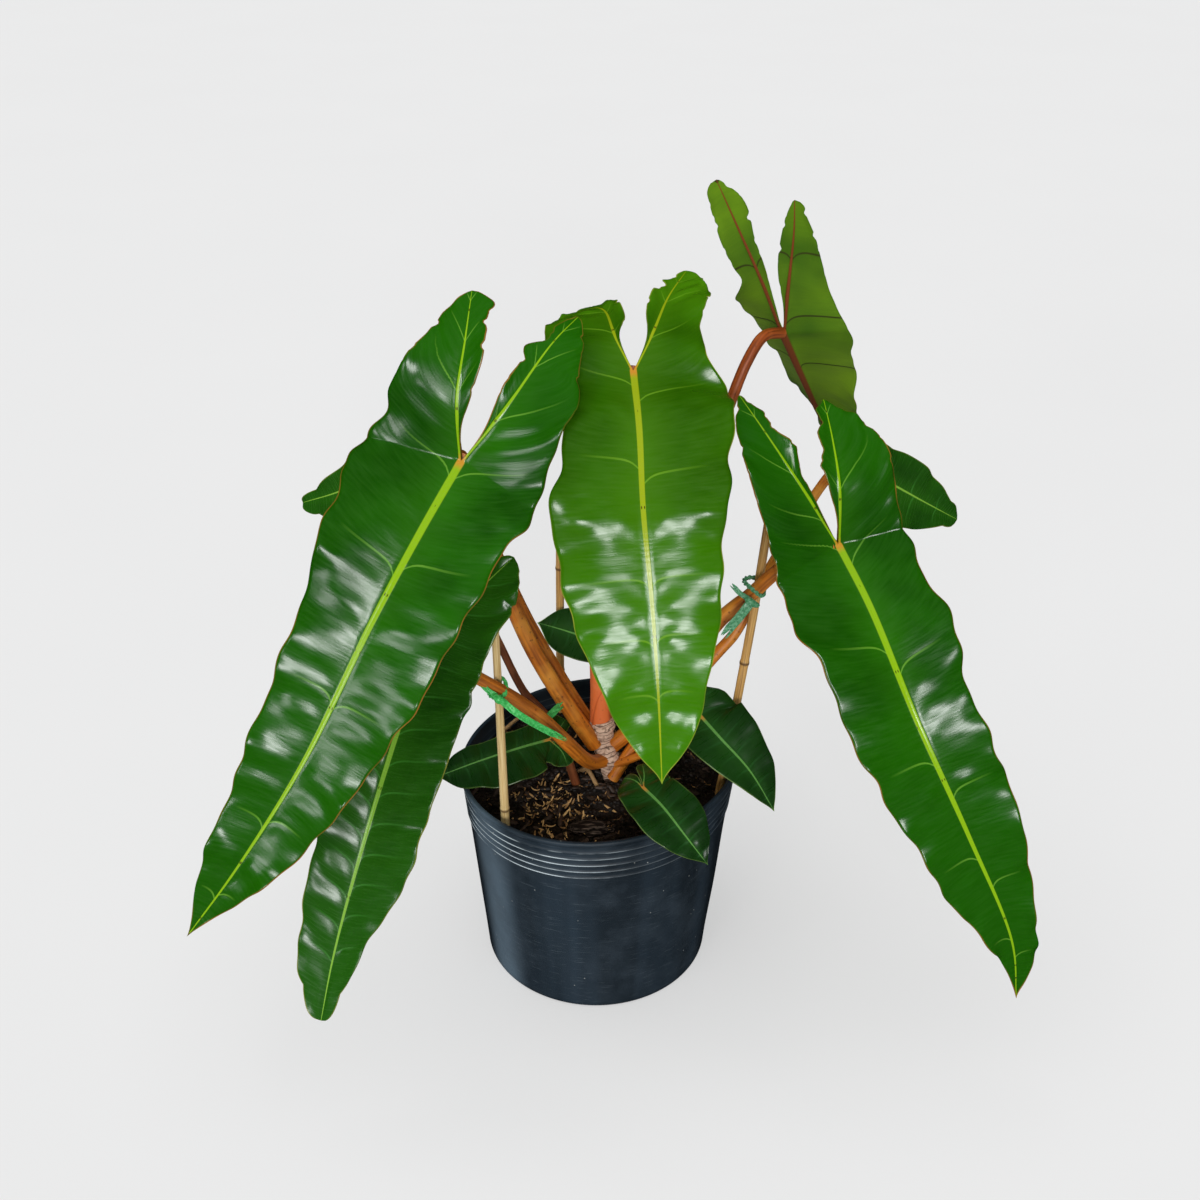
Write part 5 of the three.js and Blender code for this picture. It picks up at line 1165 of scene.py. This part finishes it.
# The height alone tells the crests of the rings, 6 mm apart from 138 mm up.
to_crest = node("ShaderNodeMath", {0: axes["Z"], 1: 0.138}, operation="SUBTRACT")
to_crest = node("ShaderNodeMath", {0: to_crest, 1: 0.003}, operation="PINGPONG")
much = {key: node("ShaderNodeMapRange", {
    "Value": pattern, "From Min": begins, "From Max": full, "To Min": least, "To Max": most},
    interpolation_type=step) for key, pattern, begins, full, least, most, step in (
        ("band", bands, 0.4, 0.68, 0.0, 1.0, "LINEAR"),
        ("painted_highlight_band", painted_highlight_band, 0.32, 0.05, 0.0, 0.8, "SMOOTHSTEP"),
        ("cloud", clouds, 0.48, 0.75, 0.0, 0.5, "LINEAR"),
        ("scuff", scuffs, 0.66, 0.8, 0.0, 0.25, "LINEAR"),
        ("crest", to_crest, 0.0007, 0.0001, 0.0, 1.0, "SMOOTHSTEP"),
        ("over first ring", axes["Z"], 0.136, 0.1375, 0.0, 1.0, "LINEAR"),
        ("under bead", axes["Z"], 0.1645, 0.163, 0.0, 1.0, "LINEAR"),
        ("worn", wear, 0.34, 0.55, 0.0, 0.95, "LINEAR"),
        ("lit left side", around, -1.3, -1.9, 0.12, 1.0, "LINEAR"),
        ("dust", dots, 0.055, 0.03, 0.0, 0.5, "LINEAR"),
        ("rough", clouds, 0.3, 0.7, 0.4, 0.58, "LINEAR"))}
much["scuff"] = node("ShaderNodeMath", {0: much["scuff"], 1: bands}, operation="MULTIPLY")
# The crests' pale lines are worn places and painted highlight too: only the lit left side shows
# them fully.
for within in ("over first ring", "under bead", "worn", "lit left side"):
    much["crest"] = node("ShaderNodeMath", {0: much["crest"], 1: much[within]},
                         operation="MULTIPLY")
tint = paint("#18222a")
for key, colour in (("band", "#25323d"), ("painted_highlight_band", "#596b79"), ("cloud", "#323f4a"),
                    ("scuff", "#93a0a8"), ("crest", "#c6d3d9"), ("dust", "#b3b6b2")):
    tint = node("ShaderNodeMix", {"Factor": much[key], "A": tint, "B": paint(colour)},
                data_type="RGBA")
relief = node("ShaderNodeBump", {"Height": clouds, "Distance": 0.0004, "Strength": 0.6})
relief = node("ShaderNodeBump", {"Height": scuffs, "Distance": 0.00006, "Normal": relief})
feed(shader, {"Base Color": tint, "Roughness": much["rough"], "IOR": 1.5,
              "Specular IOR Level": 0.35, "Normal": relief})
pot = mesh_piece("nursery_pot", corners, faces, POT_SKIN)

HOLES, HOLE_CIRCLE, HOLE_RADIUS, HOLE_SIDES = 6, 58, 6, 24
drills, drill_faces = [], []
for i in range(HOLES):
    turn = (i + 0.5) * 2 * math.pi / HOLES
    first = len(drills)
    drills += [[HOLE_CIRCLE * math.cos(turn) + HOLE_RADIUS * math.cos(a),
                HOLE_CIRCLE * math.sin(turn) + HOLE_RADIUS * math.sin(a), z]
               for z in (-5, 8) for a in np.arange(HOLE_SIDES) / HOLE_SIDES * 2 * math.pi]
    drill_faces += ring_faces(2, HOLE_SIDES, first)
    drill_faces += [[first + k for k in range(HOLE_SIDES - 1, -1, -1)],
                    [first + HOLE_SIDES + k for k in range(HOLE_SIDES)]]
drill = mesh_piece("drain_drill", drills, drill_faces, POT_SKIN)
cut = pot.modifiers.new("drain_holes", "BOOLEAN")
cut.object, cut.operation, cut.solver = drill, "DIFFERENCE", "EXACT"
drilled = bpy.data.meshes.new_from_object(pot.evaluated_get(
    bpy.context.evaluated_depsgraph_get()))
pot.modifiers.remove(cut)
pot.data = drilled
bpy.data.objects.remove(drill)
keep(pot, "pot", "pot")

# %% [markdown]
# ## Compost
# The compost is dark and moist, with clods, bark crumbs and many tan rice husks, most of them
# in front of the stem. The ground itself is one lumpy turned body that fills the pot. Its
# finish mixes two tones by one noise, which also raises it: so do those of the bark lump, the
# ties and the dry litter further on.

# %% The lumpy ground
SOIL_EDGE, SOIL_MOUND, MOUND_RADIUS = 152, 10, 44
GROUND_SIDES, GROUND_RINGS = 150, 52
GROUND_BOTTOM, GROUND_GAP = 2.9, 2.6   # its height in the pot, and how far it stays inside


def grainy_finish(name, dark, light, scale, detail, low, high, depth, rough, more,
                  coarse=0.5, stretch=(1.0, 1.0, 1.0)):
    """Two tones and relief from one noise, which may be stretched in each direction."""
    material, shader, node = new_finish(name)
    place = node("ShaderNodeVectorMath", {
        0: node("ShaderNodeTexCoord").outputs["Object"], 1: stretch}, operation="MULTIPLY")
    lumps = node("ShaderNodeTexNoise", {"Vector": place, "Scale": scale, "Detail": detail,
                                        "Roughness": coarse})
    tint = paint_over(node, dark, ((lumps, low, high, 1.0, light),))
    relief = node("ShaderNodeBump", {"Height": lumps, "Distance": depth})
    feed(shader, {"Base Color": tint, "Roughness": rough, "Normal": relief, **more})
    return material


def ground_height(x, y):
    """Height of the compost in mm: a mound at the stem, slow clods and fine crumbs."""
    mound = SOIL_MOUND * math.exp(-((math.hypot(x - 10, y + 12) / MOUND_RADIUS) ** 2))
    slow = math.sin(0.21 * x + 1) * math.cos(0.17 * y) + math.sin(0.12 * x - 0.31 * y)
    crumbs = noise.fractal(Vector((x, y, 3)) / 9, 0.9, 2.1, 4)
    fine = noise.noise(Vector((x, y, 8)) / 2.6)
    return SOIL_EDGE - 0.6 + mound + 1.1 * slow + 2.0 * crumbs + 0.7 * fine


buried = [[0.01, GROUND_BOTTOM], [78, GROUND_BOTTOM]]
buried += [[wall_radius(z) - GROUND_GAP, z] for z in (6, 40, 80, 120, 149)]
open_soil = [[(wall_radius(SOIL_EDGE) - GROUND_GAP) * (1 - i / GROUND_RINGS), SOIL_EDGE]
             for i in range(GROUND_RINGS)] + [[0.01, SOIL_EDGE]]
corners, faces = turned(buried + open_soil, GROUND_SIDES)
for corner in corners[len(buried) * GROUND_SIDES:]:
    corner[2] = ground_height(corner[0], corner[1])
corners = squeezed(corners)
middle = len(corners)
corners = np.vstack([corners, [[0, 0, GROUND_BOTTOM]]])
faces += [[middle, (k + 1) % GROUND_SIDES, k] for k in range(GROUND_SIDES)]
faces.append([middle - GROUND_SIDES + k for k in range(GROUND_SIDES)])
# Moist soil: nearly black between brown lumps, with a faint wet sheen.
MOIST_SOIL = grainy_finish("moist_compost", "#0d0a08", "#2c211a", 130.0, 8.0, 0.38, 0.7, 0.003,
                           0.8, {"Specular IOR Level": 0.3}, coarse=0.7)
ground = mesh_piece("compost", corners, faces, MOIST_SOIL)
keep(ground, "compost", "soil")

# %% [markdown]
# The husks and crumbs repeat hundreds of times, so a Geometry Nodes rule scatters them: it
# drops points on the faces that look up, and puts a small bent spindle or an angular crumb on
# each, turned and scaled at random from a fixed seed.

# %% The rule that scatters small pieces on the compost
scatter_rule, given = new_rule("scatter_on_compost", {
    "Per Square Metre": ("Float", 1000.0), "Seed": ("Int", 1), "Length": ("Float", 0.004),
    "Width": ("Float", 0.001), "Bend": ("Float", 0.0), "Segments": ("Int", 8),
    "Rings": ("Int", 6), "Heap Centre": ("Vector", (0.0, 0.0, 0.155)),
    "Heap Radius": ("Float", 0.05), "Finish": ("Material", None)})
node = functools.partial(put, scatter_rule)
spot = node("GeometryNodeInputPosition")
# Points only on the open ground: where a face looks up, above 140 mm.
facing = node("ShaderNodeSeparateXYZ", {"Vector": node("GeometryNodeInputNormal")})
high = node("ShaderNodeSeparateXYZ", {"Vector": spot})
looks_up, on_top = (node("FunctionNodeCompare", {"A": split.outputs["Z"], "B": limit},
                         data_type="FLOAT", operation="GREATER_THAN")
                    for split, limit in ((facing, 0.5), (high, 0.14)))
both = node("FunctionNodeBooleanMath", {0: looks_up, 1: on_top}, operation="AND")
# There are fewer of them away from the heap's centre.
away = node("ShaderNodeVectorMath", {0: spot, 1: given["Heap Centre"]}, operation="DISTANCE")
away = node("ShaderNodeMath", {0: away.outputs["Value"], 1: given["Heap Radius"]},
            operation="DIVIDE")
squared = node("ShaderNodeMath", {0: away, 1: away}, operation="MULTIPLY")
heap = node("ShaderNodeMath", {0: 0.37, 1: squared}, operation="POWER")
density = node("ShaderNodeMath", {0: heap, 1: given["Per Square Metre"]},
               operation="MULTIPLY")
points = node("GeometryNodeDistributePointsOnFaces", {
    "Mesh": given["Geometry"], "Selection": both, "Density": density,
    "Seed": given["Seed"]}, distribute_method="RANDOM").outputs
# The small piece is a ball that is drawn out, flattened and bent.
ball = node("GeometryNodeMeshUVSphere", {
    "Segments": given["Segments"], "Rings": given["Rings"], "Radius": 1.0})
own = node("ShaderNodeSeparateXYZ", {"Vector": node("GeometryNodeInputPosition")}).outputs
long, wide, thick, arc = (
    node("ShaderNodeMath", {0: own[axis], 1: factor}, operation="MULTIPLY")
    for axis, factor in (("Z", given["Length"]), ("Y", given["Width"]), ("X", given["Width"]),
                         ("Z", own["Z"])))
thick = node("ShaderNodeMath", {0: thick, 1: 0.6}, operation="MULTIPLY")
arc = node("ShaderNodeMath", {0: arc, 1: given["Bend"], 2: thick}, operation="MULTIPLY_ADD")
shaped = node("ShaderNodeCombineXYZ", {"X": long, "Y": wide, "Z": arc})
spindle = node("GeometryNodeSetPosition", {"Geometry": ball.outputs["Mesh"],
                                           "Position": shaped})
lean = node("FunctionNodeRandomValue", {
    "Min": (-0.5, -0.5, 0.0), "Max": (0.5, 0.5, 6.28), "Seed": given["Seed"]},
    data_type="FLOAT_VECTOR")
turn = node("FunctionNodeRotateRotation", {
    "Rotation": points["Rotation"],
    "Rotate By": node("FunctionNodeEulerToRotation", {"Euler": lean})}, rotation_space="LOCAL")
size = node("FunctionNodeRandomValue", {"Min": 0.55, "Max": 1.25, "Seed": 7},
            data_type="FLOAT")
placed = node("GeometryNodeInstanceOnPoints", {
    "Points": points["Points"], "Instance": spindle, "Rotation": turn, "Scale": size})
shade_of = node("FunctionNodeRandomValue", {"Min": 0.0, "Max": 1.0, "Seed": 11},
                data_type="FLOAT")
placed = node("GeometryNodeStoreNamedAttribute", {
    "Geometry": placed, "Name": "tint", "Value": shade_of}, data_type="FLOAT",
    domain="INSTANCE")
close_rule(scatter_rule, placed, given["Finish"])


def crumb_finish(name, dark, light):
    """Dry plant bits: each piece has its own shade between dark and light."""
    material, shader, node = new_finish(name)
    place = node("ShaderNodeTexCoord").outputs["Object"]
    own_shade = node("ShaderNodeAttribute", attribute_name="tint").outputs["Fac"]
    tint = node("ShaderNodeMix", {"Factor": own_shade, "A": paint(dark), "B": paint(light)},
                data_type="RGBA")
    husk_lines = node("ShaderNodeTexNoise", {"Vector": place, "Scale": 700.0, "Detail": 2.0})
    relief = node("ShaderNodeBump", {"Height": husk_lines, "Distance": 0.0003})
    feed(shader, {"Base Color": tint, "Roughness": 0.6, "Normal": relief})
    return material


SCATTERED = [
    # name, per square metre, seed, half length, half width, bend, segments, rings, heap, reach
    ("rice_husks", 70000, 3, 4.4, 0.8, 2.3, 8, 5, (-30, -38, 155), 25, "#6a4424", "#e2b473"),
    ("stray_husks", 5000, 5, 3.8, 0.75, 1.8, 8, 5, (0, 0, 155), 130, "#3a281a", "#a87b45"),
    ("bark_chips", 16000, 8, 5.5, 2.0, 0.6, 6, 4, (0, 0, 155), 130, "#120c09", "#463428"),
    ("soil_crumbs", 100000, 9, 1.9, 1.7, 0.0, 6, 4, (0, 0, 155), 200, "#0b0806", "#281d16"),
]
for name, amount, seed, long, wide, bend, segments, rings, centre, reach, dark, light \
        in SCATTERED:
    pieces = follow_rule(name, ground.data.copy(), scatter_rule, {
        "Per Square Metre": float(amount), "Seed": seed, "Length": long * MM,
        "Width": wide * MM, "Bend": bend * MM, "Segments": segments, "Rings": rings,
        "Heap Centre": tuple(c * MM for c in centre), "Heap Radius": reach * MM,
        "Finish": crumb_finish(name + "_finish", dark, light)})
    keep(pieces, "compost" if name == "soil_crumbs" else "dry_litter")

# %% [markdown]
# A lump of old bark lies in front of the stem, dark between grey fibres. It is a flattened
# ball that noise dents, because it occurs only once.

# %% The lump of bark
# Its fibres, about 1 mm apart, run along the lump from left to right.
LUMP_BARK = grainy_finish("grey_fibrous_bark", "#1a120e", "#6d5c50", 1.0, 3.0, 0.5, 0.68, 0.0012,
                          0.8, {"Specular IOR Level": 0.3}, stretch=(90.0, 900.0, 900.0))
LUMP_CENTRE, LUMP_HALVES = (-4, -64, 155), (15, 8, 5)
LUMP_RINGS, LUMP_SIDES = 23, 36
corners = []
for rise in (np.arange(LUMP_RINGS) / (LUMP_RINGS - 1) - 0.5) * math.pi:
    for turn in np.arange(LUMP_SIDES) / LUMP_SIDES * 2 * math.pi:
        ball = Vector((math.cos(turn) * math.cos(rise), math.sin(turn) * math.cos(rise),
                       math.sin(rise)))
        dent = 1 + 0.35 * noise.fractal(ball * 1.3 + Vector((4, 2, 7)), 0.9, 2.1, 4)
        corners.append([c + h * b * dent for c, h, b in zip(LUMP_CENTRE, LUMP_HALVES, ball)])
lump = mesh_piece("bark_lump", corners, ring_faces(LUMP_RINGS, LUMP_SIDES), LUMP_BARK)
keep(lump, "dry_litter")

# %% [markdown]
# ## Green ties
# Flat green raffia, a split plastic film, ties two stalks to their canes. Round the stalk and
# the cane it is twisted to a cord, so the loop is two strands that wind round each other, each
# made by the rod rule. A rod is also the crumpled knot. The loose tail and the short stub open
# to flat wrinkled ribbons with frayed ends, which are strips of cross sections in mesh code.

# %% Ribbons and twisted loops
# Stretched plastic film: bright green and glossy, with fine lines along it.
FILM_LOOK = {"IOR": 1.5, "Subsurface Weight": 0.1, "Subsurface Radius": (0.4, 1.0, 0.5),
             "Subsurface Scale": 0.001}
bright_film, aged_film = (
    grainy_finish(name, base, light, 650.0, 2.0, 0.4, 0.7, 0.00025, 0.32, FILM_LOOK)
    for name, base, light in (("bright_green_raffia", "#33a84c", "#62cf76"),
                              ("aged_green_raffia", "#3f8258", "#74b08a")))
RIBBON_STEP, RIBBON_COLUMNS = 1.2, 7
RIBBON_FRONT = np.array((0, -0.85, 0.5))   # the way that its flat side looks
CUPPING, WRINKLES, HALF_FILM = 0.6, 0.35, 0.16
FRAYS_BEGIN, WHOLE_ENDS = 0.74, 0.78
LOOP_POINTS, WINDINGS, STRAND_OFFSET = 60, 7, 0.8


def ribbon(name, route, width, material, frays):
    """A flat strip along a route in mm, cupped and wrinkled, its end split into frays."""
    path, _ = smooth_path(route, max(16, round(length_of(route) / RIBBON_STEP)))
    tangent = unit(np.gradient(path, axis=0))
    side = unit(np.cross(RIBBON_FRONT, tangent))
    up = np.cross(tangent, side)
    rng = np.random.default_rng(len(name))
    cuts = np.linspace(-0.5, 0.5, frays + 1)
    strips = [(-0.5, 0.5, 0.0, WHOLE_ENDS)] + [(low, high, FRAYS_BEGIN, 1.0)
                                               for low, high in zip(cuts, cuts[1:])]
    section = 2 * RIBBON_COLUMNS
    ends = [*range(RIBBON_COLUMNS), *range(section - 1, RIBBON_COLUMNS - 1, -1)]
    corners, faces = [], []
    for low, high, begin, end in strips:
        rows = np.arange(round(begin * (len(path) - 1)), round(end * (len(path) - 1)) + 1)
        drift = rng.uniform(-1.4, 1.4) if begin else 0
        first = len(corners)
        for r, i in enumerate(rows):
            late = r / max(1, len(rows) - 1)
            narrow = (1 - 0.8 * late ** 2) if begin else 1
            for face in (HALF_FILM, -HALF_FILM):
                for c in range(RIBBON_COLUMNS):
                    u = low + (high - low) * (0.5 + (c / (RIBBON_COLUMNS - 1) - 0.5) * narrow)
                    flat = WRINKLES * math.sin(i * 0.7 + u * 9) + CUPPING * (4 * u * u - 0.5) \
                        + face + drift * late ** 2
                    corners.append(path[i] + side[i] * (u * width + drift * late * 0.8)
                                   + up[i] * flat)
            if r:
                b = first + r * section
                faces += [[b - section + m, b + m, b + n, b - section + n]
                          for m, n in zip(ends, ends[1:] + ends[:1])]
        faces.append([first + k for k in ends])
        faces.append([first + (len(rows) - 1) * section + k for k in reversed(ends)])
    return mesh_piece(name, corners, faces, material)


def twisted_loop(tie, strand):
    """A strand's path round a stalk and a cane; the two strands wind round each other."""
    axis = unit(tie.axis)
    cross = np.array(tie.cross, float)
    across = unit(cross - axis * cross.dot(axis))
    third = np.cross(axis, across)
    path = []
    for i in range(LOOP_POINTS + 1):
        turn = i / LOOP_POINTS * 2 * math.pi - math.pi / 2
        wind = i / LOOP_POINTS * 2 * math.pi * WINDINGS + strand * math.pi
        wide = 1 + STRAND_OFFSET * math.cos(wind) / 10
        spot = np.array(tie.centre, float) \
            + across * tie.radii[1] * wide * math.sin(-turn) \
            + third * tie.radii[0] * wide * math.cos(turn) \
            + axis * (1.2 * math.sin(2 * turn) + STRAND_OFFSET * math.sin(wind))
        path.append(spot.tolist())
    return path


TIES = [
    SimpleNamespace(
        name="tie_left", centre=[-64, -74, 281], axis=[-0.43, -0.1, 0.9], radii=[6.2, 9.6],
        cross=[0.1, -1, -0.06], film=bright_film, frays=5, width=4.6,
        tail=[[-62, -86, 281], [-51, -90, 273], [-34, -79, 252], [-20, -66, 234]]),
    SimpleNamespace(
        name="tie_right", centre=[108, -9, 321], axis=[0.39, 0, 0.92], radii=[7.2, 10.3],
        cross=[0.2, -1, 0], film=aged_film, frays=3, width=6.2,
        tail=[[104, -27, 319], [97, -29, 309], [86, -30, 294]]),
]
for tie in TIES:
    for strand in (0, 1):
        cord = rod_piece(f"{tie.name}_strand_{strand + 1}", twisted_loop(tie, strand),
                         [0.95, 0.95], tie.film, step=1.2, sides=8, bump_height=0.5 * MM,
                         bump_size=1.5 * MM)
        keep(cord, "raffia", *([tie.name] if strand == 0 else []))
    keep(ribbon(tie.name + "_tail", tie.tail, tie.width, tie.film, tie.frays), "raffia")
    knot = np.array(tie.tail[0]) + [[-4, 2, 3], [-1, -1, 1], [2, -1, -1], [5, 0, -3]]
    bundle = rod_piece(tie.name + "_knot", knot.tolist(), [1.2, 2.7, 2.4, 1.5], tie.film,
                       step=0.8, sides=10, bump_height=1.6 * MM, bump_size=2 * MM)
    keep(bundle, "raffia")
    stub = (knot[0] + [[2, -1, -1], [-4, 0, 3], [-9, 3, 8]]).tolist()
    keep(ribbon(tie.name + "_stub", stub, 3.4, tie.film, 3), "raffia")
strip = ribbon("tie_left_strip_film", [[-32, -60, 248], [-27, -48, 246], [-23, -37, 243]], 5.0,
               bright_film, 3)
keep(strip, "raffia", "tie_left_strip")

# %% [markdown]
# ## Dry litter
# A dead twig leans against the rim at the back, and a dry leaf stalk bridges the compost in
# front of the stem. Both are rods with rough, shrunken bark.

# %% The twig and the dry stalk
# Dry plant straw: dull, in light and dark fibres, shrunken between them.
DRY_STRAW = grainy_finish("dry_plant_straw", "#6f4f30", "#bd9866", 300.0, 4.0, 0.0, 1.0, 0.0006,
                          0.75, {})
for name, route, thickness in (
        ("twig", [[-84, 14, 152], [-74, 39, 160], [-57, 58, 166]], 1.7),
        ("dry_stalk", [[-12, -3, 158], [-6, -14, 168], [2, -26, 160]], 1.8)):
    piece = rod_piece("litter_" + name, route, [thickness, thickness * 0.8], DRY_STRAW,
                      step=1.0, sides=12, bump_height=0.8 * MM, bump_size=3 * MM)
    keep(piece, "dry_litter", name)

# %% [markdown]
# ## The studio
# The plant stands on a plain pale floor that runs out of the picture. One very wide light from
# above and a pale sky light everything softly. Two small lights stand low behind the camera, as
# the bright windows of a dark room would: the waxed blades mirror only them, in patches where
# they face forward. The high light, the sky and the floor are left out of the mirror images,
# which keeps the greens as deep as in the photo. All are far lights, so the floor stays evenly
# pale. Its paper also glows a little, as on a light table, so that shadows on it stay faint.
# The picture is shown without a film curve, so the greens stay saturated.

# %% Floor, lamps and sky
FLOOR_HALF_MM = 12000
# Matte paper: an even pale grey without gloss, whose grain hardly shows.
PAPER, shader, node = new_finish("matte_backdrop_paper")
place = node("ShaderNodeTexCoord").outputs["Object"]
grain = node("ShaderNodeTexNoise", {"Vector": place, "Scale": 3.0, "Detail": 2.0})
pale = node("ShaderNodeMix", {"Factor": grain, "A": paint("#a6a6a6"), "B": paint("#a9a9a9")},
            data_type="RGBA")
feed(shader, {"Base Color": pale, "Roughness": 0.9, "Specular IOR Level": 0.1,
              "Emission Color": paint("#ffffff"), "Emission Strength": 0.44})
floor = mesh_piece("studio_floor", [(x * FLOOR_HALF_MM, y * FLOOR_HALF_MM, 0) for x, y in
                                    ((-1, -1), (1, -1), (1, 1), (-1, 1))], [(0, 1, 2, 3)],
                   PAPER)
floor.visible_glossy = False


def far_light(name, around, height, width, strength):
    """A far light: degrees round from the front and up, its width, and its strength."""
    turn, rise = math.radians(around), math.radians(height)
    toward = Vector((math.sin(turn) * math.cos(rise), -math.cos(turn) * math.cos(rise),
                     math.sin(rise)))
    lamp = bpy.data.lights.new(name, "SUN")
    lamp.angle = math.radians(width)
    lamp.energy = strength
    panel = add_object(name, lamp)
    panel.rotation_euler = toward.to_track_quat("Z", "Y").to_euler()
    return panel


high = far_light("high_light", -33.69, 74.5, 70, 1.92)
high.visible_glossy = False
far_light("low_light_1", -31, 12, 15, 0.45)
far_light("low_light_2", 1, 17, 17, 1.45)
sky = bpy.data.worlds.new("pale_sky")
sky.use_nodes = True
feed(sky.node_tree.nodes["Background"], {"Color": paint("#f4f6f8"), "Strength": 0.28})
sky.cycles_visibility.glossy = False
bpy.context.scene.world = sky
bpy.context.scene.view_settings.view_transform = "Standard"
